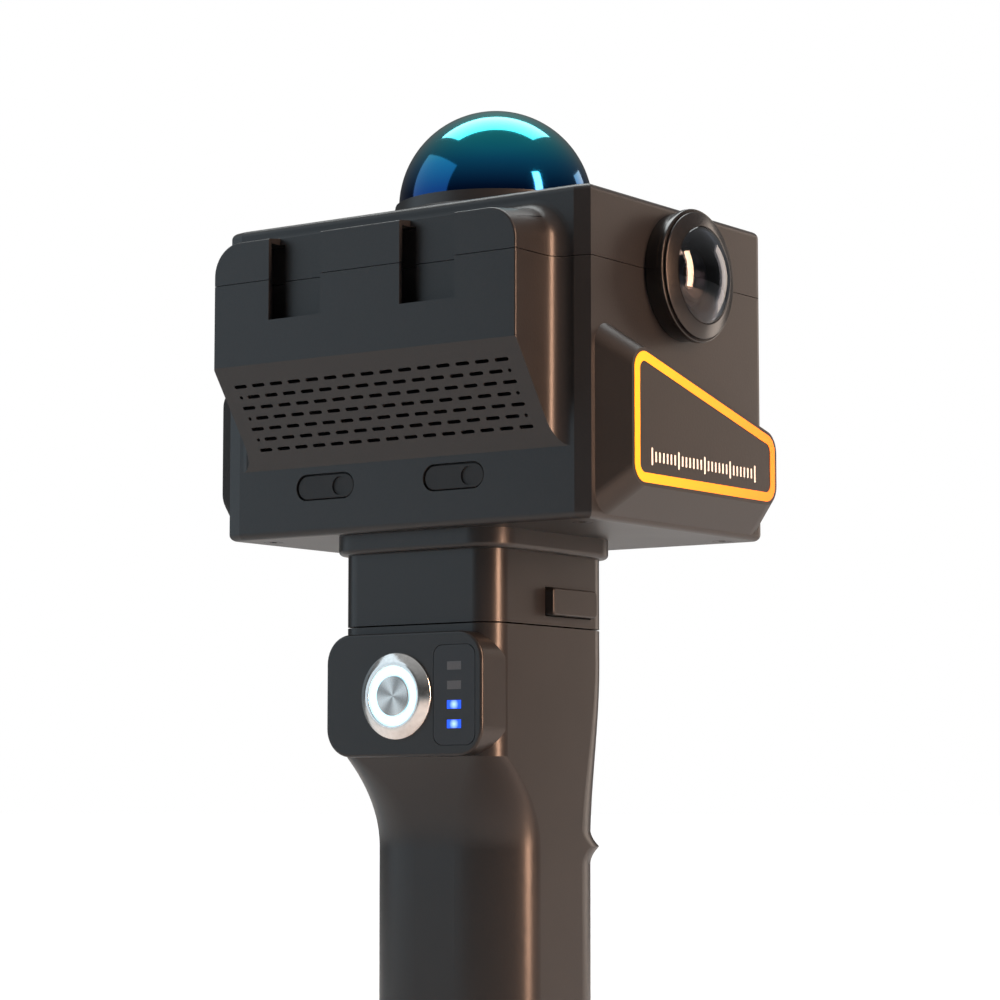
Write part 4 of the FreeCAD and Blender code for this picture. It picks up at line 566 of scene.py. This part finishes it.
def element_with_painted_pupil():
    """The front element: a black pupil, painted shade for the dark inside of the lens, within a
    copper-tinted ring, by distance from the axis.
    """
    material, tree, shader, where = new_material("element with painted pupil shade")
    split = add(tree, "ShaderNodeSeparateXYZ")
    tree.links.new(where, split.inputs["Vector"])
    place = camera_place("right")[0]
    flat = add(tree, "ShaderNodeCombineXYZ")
    tree.links.new(math_node(tree, "SUBTRACT", split.outputs["Y"], place[1]), flat.inputs["X"])
    tree.links.new(math_node(tree, "SUBTRACT", split.outputs["Z"], place[2]), flat.inputs["Y"])
    away = add(tree, "ShaderNodeVectorMath", operation="LENGTH")
    tree.links.new(flat.outputs["Vector"], away.inputs[0])
    share = math_node(tree, "DIVIDE", away.outputs["Value"], ELEMENT_EDGE * MM)
    # Painted shade: the black middle stands for the dark inside of the lens, seen through the
    # element.
    tree.links.new(ramp(tree, share, (
        (0.0, (0.002, 0.002, 0.003)), (0.36, (0.002, 0.002, 0.003)), (0.42, (0.20, 0.09, 0.05)),
        (0.72, (0.30, 0.15, 0.09)), (0.86, (0.06, 0.035, 0.03)), (1.0, (0.25, 0.14, 0.09)))),
        shader.inputs["Base Color"])
    rough = math_node(tree, "MULTIPLY_ADD", share, 0.1, 0.12)
    tree.links.new(rough, shader.inputs["Roughness"])
    shader.inputs["Coat Weight"].default_value = 0.2
    shader.inputs["Coat Roughness"].default_value = 0.05
    return material


BARREL = plastic("gloss black barrel", (0.006, 0.006, 0.0065), 0.22, grain=3000.0,
                 depth=0.000003)
PAINTED_PUPIL_ELEMENT = element_with_painted_pupil()
for side in ("right", "left"):
    make_camera_pieces(side)

# %% [markdown]
# The front glass could be a solid plug, but light bends differently through a shell. So it is two
# arcs about one centre, a wall's thickness apart, and its edge stands inside the front ring.

# %% Front glasses
def make_front_glass(side):
    at, axis = camera_place(side)
    radius = (GLASS_EDGE ** 2 + GLASS_RISE ** 2) / (2 * GLASS_RISE)
    centre = RING_FACE + GLASS_RISE - radius
    low = math.degrees(math.asin((RING_FACE - centre) / radius))
    outer = arc(radius, centre, low, 90, 28)
    inner_radius = radius - GLASS_WALL
    foot = RING_BACK + GROOVE
    inner_low = math.degrees(math.asin((foot - centre) / inner_radius))
    inner = list(reversed(arc(inner_radius, centre, inner_low, 90, 28)))
    edge = GLASS_EDGE - 0.05
    outline = [(edge, foot), (edge, RING_FACE - 0.1)] + outer[1:] + inner
    settle(lathe(side + "_front_glass", outline, at, axis, GLASS), BODY, "camera_glass",
           side + "_camera_glass")


for side in ("right", "left"):
    make_front_glass(side)

# %% [markdown]
# ## The power button
# It is a metal push button: a polished bezel, a ring of frosted plastic with a lamp behind it,
# and a cap whose face was brushed as it turned; the cap's bright and dark sectors are painted
# highlights. The cap moves, so it rides on its own body.

# %% Power button
BEZEL, BUTTON_BARREL, BARREL_LENGTH, BEZEL_STAND = 12.0, 9.5, 15.0, 2.2
LIGHT_RING, RING_WIDTH = 8.3, 2.7
print("button sizes in mm: bezel", BEZEL, "light ring", LIGHT_RING)


def brushed_face_with_painted_sheen(centre):
    """Steel whose fine lines run round a centre: a noise that changes only with the radius. Its
    colour has painted highlights, bright and dark sectors round the centre.
    """
    material, tree, shader, where = new_material("turned steel face with painted sheen")
    shift = add(tree, "ShaderNodeVectorMath", operation="SUBTRACT")
    shift.inputs[1].default_value = centre
    tree.links.new(where, shift.inputs[0])
    split = add(tree, "ShaderNodeSeparateXYZ")
    tree.links.new(shift.outputs["Vector"], split.inputs["Vector"])
    around = math_node(tree, "ARCTAN2", split.outputs["Z"], split.outputs["X"])
    # Painted highlights: four bright and four dark sectors round the centre are painted into the
    # colour, standing in for how the brushed face catches the light.
    painted_sheen_sectors = math_node(tree, "SINE", math_node(tree, "MULTIPLY", around, 4.0))
    away = add(tree, "ShaderNodeVectorMath", operation="LENGTH")
    tree.links.new(shift.outputs["Vector"], away.inputs[0])
    lines = add(tree, "ShaderNodeTexNoise", noise_dimensions="1D")
    lines.inputs["Scale"].default_value = 9000.0
    tree.links.new(away.outputs["Value"], lines.inputs["W"])
    colour = ramp(tree, math_node(tree, "MULTIPLY_ADD", painted_sheen_sectors, 0.5, 0.5),
                  ((0.0, (0.34, 0.33, 0.32)), (1.0, (0.74, 0.73, 0.71))))
    tree.links.new(colour, shader.inputs["Base Color"])
    rough = math_node(tree, "MULTIPLY_ADD", lines.outputs["Fac"], 0.2, 0.16)
    tree.links.new(rough, shader.inputs["Roughness"])
    bump = add(tree, "ShaderNodeBump")
    bump.inputs["Distance"].default_value = 0.000004
    tree.links.new(lines.outputs["Fac"], bump.inputs["Height"])
    tree.links.new(bump.outputs["Normal"], shader.inputs["Normal"])
    shader.inputs["Metallic"].default_value = 1.0
    return material


def make_power_button():
    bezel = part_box("power_button_bezel")
    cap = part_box("power_button_cap")
    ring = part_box("power_light_ring")
    centre = middle_of(bezel)
    face = bezel[0][1] + BEZEL_STAND * MM
    at = (centre[0], face, centre[2])
    outline = eased([(LIGHT_RING, -BARREL_LENGTH), (BUTTON_BARREL, -BARREL_LENGTH),
                     (BUTTON_BARREL, 0.0), (BEZEL, 0.0), (BEZEL, 0.6),
                     (LIGHT_RING + 1, BEZEL_STAND), (LIGHT_RING, BEZEL_STAND)],
                    {4: 0.4, 5: 0.5, 6: 0.2})
    settle(lathe("bezel", outline, at, (0, -1, 0), CHROME, 128), BODY, "bezel_chrome",
           "power_button_bezel")
    inner = (ring[1][0] - ring[0][0]) / 2 / MM - RING_WIDTH
    low, high = (face - ring[1][1]) / MM, (face - ring[0][1]) / MM
    outline = eased([(inner, low), (LIGHT_RING, low), (LIGHT_RING, high), (inner, high)],
                    {2: 0.2, 3: 0.2})
    settle(lathe("light_ring", outline, at, (0, -1, 0), HALO, 128), BODY, "light_ring",
           "power_light_ring")
    reach = (cap[1][0] - cap[0][0]) / 2 / MM
    low, high = (face - cap[1][1]) / MM, (face - cap[0][1]) / MM
    outline = eased([(0.0, low), (RING_WIDTH, low), (RING_WIDTH, -BEZEL_STAND),
                     (reach, -BEZEL_STAND), (reach, high),
                     (0.0, high - 0.25)], {4: 0.3})
    steel = brushed_face_with_painted_sheen((at[0], face - high * MM, at[2]))
    settle(lathe("button_cap", outline, at, (0, -1, 0), steel, 96), "power_cap", "button_metal",
           "power_button_cap")


make_power_button()

# %% [markdown]
# ## The latch springs
# A coil spring behind each release button gets shorter as the button goes in. The coil is a round
# wire swept along a helix, ring by ring, with a cap at each end. It rides on one body alone, which
# leaves it stiff and in the button's way.

# %% Latch springs
def make_spring(side):
    low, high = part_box("release_spring_" + side)
    way = 1 if side == "right" else -1
    inner, outer = (low[0], high[0]) if way > 0 else (high[0], low[0])
    wire, turns, steps, sides = 0.25 * MM, 5, 120, 10
    coil = (high[2] - low[2]) / 2 - wire
    y, z = (low[1] + high[1]) / 2, (low[2] + high[2]) / 2
    run = (outer - inner) - 2 * way * wire
    mesh = bmesh.new()
    rings = []
    for step in range(steps + 1):
        angle = 2 * math.pi * turns * step / steps
        radial = Vector((0, math.cos(angle), math.sin(angle)))
        middle = Vector((inner + way * wire + run * step / steps, y, z)) + radial * coil
        along = Vector((run / (2 * math.pi * turns), -math.sin(angle) * coil,
                        math.cos(angle) * coil)).normalized()
        side_way = along.cross(radial)
        rings.append([mesh.verts.new(middle + wire * (
            radial * math.cos(2 * math.pi * k / sides) +
            side_way * math.sin(2 * math.pi * k / sides))) for k in range(sides)])
    for first, second in zip(rings, rings[1:]):
        for k in range(sides):
            j = (k + 1) % sides
            mesh.faces.new((first[k], first[j], second[j], second[k]))
    mesh.faces.new(rings[0])
    mesh.faces.new(rings[-1])
    bmesh.ops.recalc_face_normals(mesh, faces=mesh.faces)
    data = bpy.data.meshes.new(side + "_latch_spring")
    mesh.to_mesh(data)
    mesh.free()
    data.shade_smooth()
    piece = bpy.data.objects.new(side + "_latch_spring", data)
    bpy.context.scene.collection.objects.link(piece)
    paint(piece, STEEL)
    settle(piece, BODY, "steel", "release_spring_" + side)
    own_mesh(piece)


for side in ("right", "left"):
    make_spring(side)

# %% [markdown]
# ## The tripod thread
# The insert in the grip's foot takes a tripod screw. Its bore has real turns here: the lathe's
# helper moves each vertex of the bore outwards by a wave that climbs one pitch each time round.

# %% Tripod insert
def make_insert():
    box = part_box("tripod_insert")
    pitch, depth, bore, deep = 1.27, 0.55, 2.55, 9.0
    foot, body, tall = 3.4, 6.0, 12.0

    def thread(radius, height, angle):
        if abs(radius - bore) > 0.01 or height > deep - 0.1:
            return radius
        turn = (height / pitch - angle / (2 * math.pi)) % 1.0
        return radius + depth * (1 - abs(2 * turn - 1))

    steps = 84
    wall = [(bore, (deep - 0.2) * (1 - step / steps)) for step in range(steps + 1)]
    reach = (box[1][0] - box[0][0]) / 2 / MM
    outline = [(0.0, deep), (bore, deep - 0.05)] + wall
    outline += eased([(foot, 0.0), (reach, 0.0), (reach, 1.5), (body, 1.5), (body, tall),
                      (0.0, tall)], {1: 0.3})
    middle = middle_of(box)
    piece = lathe("threaded_insert", outline, (middle[0], middle[1], box[0][2]), (0, 0, 1),
                  STEEL, 72, thread, 50.0)
    settle(piece, BODY, "insert_metal", "tripod_insert")


make_insert()

# %% [markdown]
# ## What repeats: screws and graduation ticks
# Ten screws of one kind hold the scanner together, and each side cover has a printed row of
# graduation ticks. Both are a rule, one thing at many places, so Geometry Nodes make them: a
# point for each place, one instance on every point, and then real faces. The helper below turns
# the result into a plain mesh, since an export would drop instances.

# %% Helpers for node trees that make geometry
def geometry_tree(name, inputs):
    """An empty Geometry Nodes tree with named inputs."""
    tree = bpy.data.node_groups.new(name, "GeometryNodeTree")
    tree.interface.new_socket(name="Geometry", in_out="INPUT", socket_type="NodeSocketGeometry")
    for socket, kind, value in inputs:
        made = tree.interface.new_socket(name=socket, in_out="INPUT", socket_type=kind)
        if value is not None:
            made.default_value = value
    tree.interface.new_socket(name="Geometry", in_out="OUTPUT", socket_type="NodeSocketGeometry")
    return tree, tree.nodes.new("NodeGroupInput"), tree.nodes.new("NodeGroupOutput")


def grown(name, points, tree, settings):
    """A plain mesh from a tree run on a few points, with the tree's inputs set by name."""
    data = bpy.data.meshes.new(name + "_points")
    data.from_pydata([tuple(point) for point in points], [], [])
    seed = bpy.data.objects.new(name + "_points", data)
    bpy.context.scene.collection.objects.link(seed)
    modifier = seed.modifiers.new("grow", "NODES")
    modifier.node_group = tree
    for item in tree.interface.items_tree:
        if item.in_out == "INPUT" and item.name in settings:
            modifier[item.identifier] = settings[item.name]
    depsgraph = bpy.context.evaluated_depsgraph_get()
    mesh = bpy.data.meshes.new_from_object(seed.evaluated_get(depsgraph))
    mesh.name = name
    bpy.data.objects.remove(seed)
    piece = bpy.data.objects.new(name, mesh)
    bpy.context.scene.collection.objects.link(piece)
    return piece


# %% [markdown]
# The screws are all alike, so only one is modelled. Its socket could be cut by a Boolean, but the
# screw is a stack of rings anyway, and two of them folded into hexagons give cleaner faces.

# %% One screw head, as a pattern for all
SCREW_HEAD = 1.8


def screw_pattern():
    """A socket-head screw that points up: a head with eased edges and a hexagon socket."""
    mesh = bmesh.new()
    count, hexagon, socket_floor, head, shank, length = 48, 1.2, -0.7, 2.8, 1.5, 9.0

    def circle(radius, height):
        return [mesh.verts.new(Vector((radius * math.cos(2 * math.pi * i / count),
                                       radius * math.sin(2 * math.pi * i / count), height)) * MM)
                for i in range(count)]

    def hexagonal(height):
        out = []
        for i in range(count):
            angle = 2 * math.pi * i / count
            folded = (angle + math.pi / 6) % (math.pi / 3) - math.pi / 6
            reach = hexagon * math.cos(math.pi / 6) / math.cos(folded)
            out.append(mesh.verts.new(Vector((reach * math.cos(angle), reach * math.sin(angle),
                                              height)) * MM))
        return out

    rings = [hexagonal(socket_floor), hexagonal(-SCREW_HEAD), circle(2.45, -SCREW_HEAD),
             circle(2.68, -1.72), circle(head, -1.5), circle(head, 0.0), circle(shank, 0.0),
             circle(shank, length - 0.4), circle(1.2, length)]
    for first, second in zip(rings, rings[1:]):
        for i in range(count):
            j = (i + 1) % count
            mesh.faces.new((first[i], first[j], second[j], second[i]))
    mesh.faces.new(rings[0])
    mesh.faces.new(rings[-1])
    bmesh.ops.recalc_face_normals(mesh, faces=mesh.faces)
    data = bpy.data.meshes.new("screw_pattern")
    mesh.to_mesh(data)
    mesh.free()
    data.shade_smooth()
    data.set_sharp_from_angle(angle=math.radians(35))
    pattern = bpy.data.objects.new("screw_pattern", data)
    bpy.context.scene.collection.objects.link(pattern)
    return pattern


def screw_tree():
    tree, enter, leave = geometry_tree("screws at points", [
        ("Screw", "NodeSocketObject", None), ("Finish", "NodeSocketMaterial", None)])
    info = add(tree, "GeometryNodeObjectInfo")
    points = add(tree, "GeometryNodeInstanceOnPoints")
    real = add(tree, "GeometryNodeRealizeInstances")
    finish = add(tree, "GeometryNodeSetMaterial")
    links = tree.links
    links.new(enter.outputs["Screw"], info.inputs["Object"])
    links.new(enter.outputs["Geometry"], points.inputs["Points"])
    links.new(info.outputs["Geometry"], points.inputs["Instance"])
    links.new(points.outputs["Instances"], real.inputs["Geometry"])
    links.new(real.outputs["Geometry"], finish.inputs["Geometry"])
    links.new(enter.outputs["Finish"], finish.inputs["Material"])
    links.new(finish.outputs["Geometry"], leave.inputs["Geometry"])
    return tree


# %% [markdown]
# The places could be typed in, but they would go wrong when the CAD changed. The frame's own screws
# are one mesh of ten loose shells, so each shell is walked from vertex to vertex and measured.

# %% Where the screws stand, read from the frame's own screws
def screw_seats():
    """The underside of each screw's head: the CAD node's loose screws, one by one."""
    mesh = bmesh.new()
    mesh.from_mesh(frame["nodes"]["socket_screws"].data)
    bmesh.ops.remove_doubles(mesh, verts=mesh.verts, dist=1e-6)
    seen, seats = set(), []
    for start in mesh.verts:
        if start in seen:
            continue
        heap, island = [start], []
        seen.add(start)
        while heap:
            vertex = heap.pop()
            island.append(vertex.co.copy())
            for edge in vertex.link_edges:
                other = edge.other_vert(vertex)
                if other not in seen:
                    seen.add(other)
                    heap.append(other)
        xs = [p.x for p in island]
        ys = [p.y for p in island]
        low = min(p.z for p in island)
        seats.append(((min(xs) + max(xs)) / 2, (min(ys) + max(ys)) / 2, low + SCREW_HEAD * MM))
    mesh.free()
    return seats


SEATS = screw_seats()
PATTERN = screw_pattern()
SCREWS = grown("hex_screws", SEATS, screw_tree(), {"Screw": PATTERN, "Finish": OXIDE})
bpy.data.objects.remove(PATTERN)
settle(SCREWS, BODY, "steel", "socket_screws")
print("screws:", len(SEATS))

# %% [markdown]
# The ticks are a thin print. They could be a pattern in the material, but baking it to a texture
# would blur them, so each is a real bar with rounded corners, its foot sunk in the cover's face.

# %% Graduation ticks
def tick_tree():
    """A row of bars along Y; every seventh is taller. Bars are filleted, filled and thickened."""
    tree, enter, leave = geometry_tree("graduation ticks", [
        ("Pitch", "NodeSocketFloat", 0.002), ("Width", "NodeSocketFloat", 0.0007),
        ("Height", "NodeSocketFloat", 0.0032), ("Thickness", "NodeSocketFloat", 0.0001),
        ("Tall", "NodeSocketFloat", 1.7), ("Count", "NodeSocketInt", 29),
        ("Finish", "NodeSocketMaterial", None)])
    links = tree.links
    line = add(tree, "GeometryNodeMeshLine")
    step = add(tree, "ShaderNodeCombineXYZ")
    links.new(enter.outputs["Pitch"], step.inputs["Y"])
    links.new(step.outputs["Vector"], line.inputs["Offset"])
    links.new(enter.outputs["Count"], line.inputs["Count"])
    bar = add(tree, "GeometryNodeCurvePrimitiveQuadrilateral")
    links.new(enter.outputs["Height"], bar.inputs["Width"])
    links.new(enter.outputs["Width"], bar.inputs["Height"])
    corner = add(tree, "GeometryNodeFilletCurve", mode="POLY")
    corner.inputs["Count"].default_value = 3
    links.new(bar.outputs["Curve"], corner.inputs["Curve"])
    half = math_node(tree, "MULTIPLY", enter.outputs["Width"], 0.3)
    links.new(half, corner.inputs["Radius"])
    fill = add(tree, "GeometryNodeFillCurve")
    links.new(corner.outputs["Curve"], fill.inputs["Curve"])
    thick = add(tree, "GeometryNodeExtrudeMesh")
    links.new(fill.outputs["Mesh"], thick.inputs["Mesh"])
    links.new(enter.outputs["Thickness"], thick.inputs["Offset Scale"])
    thick.inputs["Individual"].default_value = False
    index = add(tree, "GeometryNodeInputIndex")
    beat = math_node(tree, "MODULO", index.outputs["Index"], 7.0)
    seventh = math_node(tree, "COMPARE", beat, 0.0, 0.1)
    tall = math_node(tree, "MULTIPLY_ADD", seventh,
                     math_node(tree, "SUBTRACT", enter.outputs["Tall"], 1.0), 1.0)
    size = add(tree, "ShaderNodeCombineXYZ")
    links.new(tall, size.inputs["X"])
    size.inputs["Y"].default_value = 1.0
    size.inputs["Z"].default_value = 1.0
    points = add(tree, "GeometryNodeInstanceOnPoints")
    links.new(line.outputs["Mesh"], points.inputs["Points"])
    links.new(thick.outputs["Mesh"], points.inputs["Instance"])
    points.inputs["Rotation"].default_value = (0.0, math.radians(90), 0.0)
    links.new(size.outputs["Vector"], points.inputs["Scale"])
    real = add(tree, "GeometryNodeRealizeInstances")
    finish = add(tree, "GeometryNodeSetMaterial")
    links.new(points.outputs["Instances"], real.inputs["Geometry"])
    links.new(real.outputs["Geometry"], finish.inputs["Geometry"])
    links.new(enter.outputs["Finish"], finish.inputs["Material"])
    links.new(finish.outputs["Geometry"], leave.inputs["Geometry"])
    return tree


TICKS = tick_tree()


def make_ticks(side):
    """The row on one side cover's face, sunk a little into it so that it stands 0.08 mm proud."""
    way = 1 if side == "right" else -1
    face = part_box(side + "_side_cover")
    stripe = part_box(side + "_side_stripe")
    outer = face[1][0] if way > 0 else -face[0][0]
    count, pitch, inset, lift_above_stripe, sunk = 29, 1.9 * MM, 8.5 * MM, 7.2 * MM, 0.08 * MM
    start = stripe[0][1] + inset
    height = stripe[0][2] + lift_above_stripe
    piece = grown(side + "_ticks", [(0.0, 0.0, 0.0)], TICKS, {
        "Pitch": pitch, "Count": count, "Width": 0.75 * MM, "Height": 2.8 * MM,
        "Thickness": 0.16 * MM, "Finish": PRINT})
    mesh = bmesh.new()
    mesh.from_mesh(piece.data)
    bmesh.ops.remove_doubles(mesh, verts=mesh.verts, dist=1e-7)
    low = min(v.co.x for v in mesh.verts)
    for vertex in mesh.verts:
        lift = vertex.co.x - low
        vertex.co = Vector((way * (outer - sunk + lift), start + vertex.co.y,
                            height + vertex.co.z))
    bmesh.ops.holes_fill(mesh, edges=mesh.edges)
    bmesh.ops.recalc_face_normals(mesh, faces=mesh.faces)
    mesh.to_mesh(piece.data)
    mesh.free()
    paint(piece, PRINT)
    settle(piece, BODY, "cover_plastic")


for side in ("right", "left"):
    make_ticks(side)

# %% [markdown]
# ## Stage
# A plain pale floor in a white room and soft light. The room is white to the camera, but lights
# the scanner only a little, or its black plastic would turn grey. A wide cool light stands on the
# left. A narrow warm one on the right draws the long highlights down the rounded corners, a wide
# one behind it grazes the right side, and one above lines the top edges and the window's crown.

# %% Floor, light and camera
def area_light(name, place, target, size, power, colour):
    lamp = bpy.data.lights.new(name, "AREA")
    lamp.shape = "RECTANGLE"
    lamp.size, lamp.size_y = size
    lamp.energy = power
    lamp.color = colour
    made = bpy.data.objects.new(name, lamp)
    bpy.context.scene.collection.objects.link(made)
    made.location = place
    made.rotation_euler = (Vector(target) - Vector(place)).to_track_quat("-Z", "Y").to_euler()
    made.visible_camera = False


def make_floor():
    bpy.ops.mesh.primitive_plane_add(size=60.0)
    floor = bpy.context.object
    floor.name = "floor"
    pale = bpy.data.materials.new("pale floor")
    pale.use_nodes = True
    tree = pale.node_tree
    shader = tree.nodes["Principled BSDF"]
    shader.inputs["Base Color"].default_value = (0.70, 0.70, 0.70, 1.0)
    shader.inputs["Roughness"].default_value = 0.9
    shader.inputs["Emission Color"].default_value = (1.0, 1.0, 1.0, 1.0)
    path = add(tree, "ShaderNodeLightPath")
    tree.links.new(math_node(tree, "MULTIPLY", path.outputs["Is Camera Ray"], 0.90),
                   shader.inputs["Emission Strength"])
    paint(floor, pale)


def make_room():
    world = bpy.data.worlds.new("studio")
    bpy.context.scene.world = world
    world.use_nodes = True
    tree = world.node_tree
    back = tree.nodes["Background"]
    back.inputs["Color"].default_value = (1.0, 1.0, 1.0, 1.0)
    path = add(tree, "ShaderNodeLightPath")
    where = add(tree, "ShaderNodeTexCoord")
    split = add(tree, "ShaderNodeSeparateXYZ")
    tree.links.new(where.outputs["Generated"], split.inputs["Vector"])
    rise = add(tree, "ShaderNodeMapRange")
    rise.inputs["From Min"].default_value = 0.25
    rise.inputs["From Max"].default_value = 0.9
    rise.inputs["To Min"].default_value = 0.07
    rise.inputs["To Max"].default_value = 0.42
    tree.links.new(split.outputs["Z"], rise.inputs["Value"])
    strength = math_node(tree, "MAXIMUM", path.outputs["Is Camera Ray"], rise.outputs["Result"])
    tree.links.new(strength, back.inputs["Strength"])


def make_lights():
    middle = (0.0, 0.0, 0.18)
    area_light("warm side", (1.0, -0.04, 0.30), middle, (0.16, 1.1), 25.0, (1.0, 0.58, 0.38))
    area_light("warm back", (0.34, 1.0, 0.30), middle, (0.35, 0.9), 2.6, (1.0, 0.84, 0.72))
    area_light("cool side", (-0.9, -0.7, 0.6), middle, (1.2, 1.2), 4.3, (0.72, 0.88, 1.0))
    area_light("crown", (-0.22, 0.30, 1.3), (0.0, 0.0, 0.26), (1.2, 0.6), 13.0,
               (0.95, 1.0, 1.0))


def make_camera():
    lens = bpy.data.cameras.new("camera")
    lens.sensor_width = 36.0
    lens.lens = 108.6
    lens.clip_start = 0.01
    camera = bpy.data.objects.new("camera", lens)
    bpy.context.scene.collection.objects.link(camera)
    camera.location = (0.50412, -0.69607, 0.08883)
    camera.rotation_euler = (math.radians(95.83), 0.0, math.radians(35.617))
    bpy.context.scene.camera = camera


make_floor()
make_room()
make_lights()
make_camera()
bpy.context.scene.view_settings.view_transform = "Standard"
print("lights:", [made.name for made in bpy.data.lights])
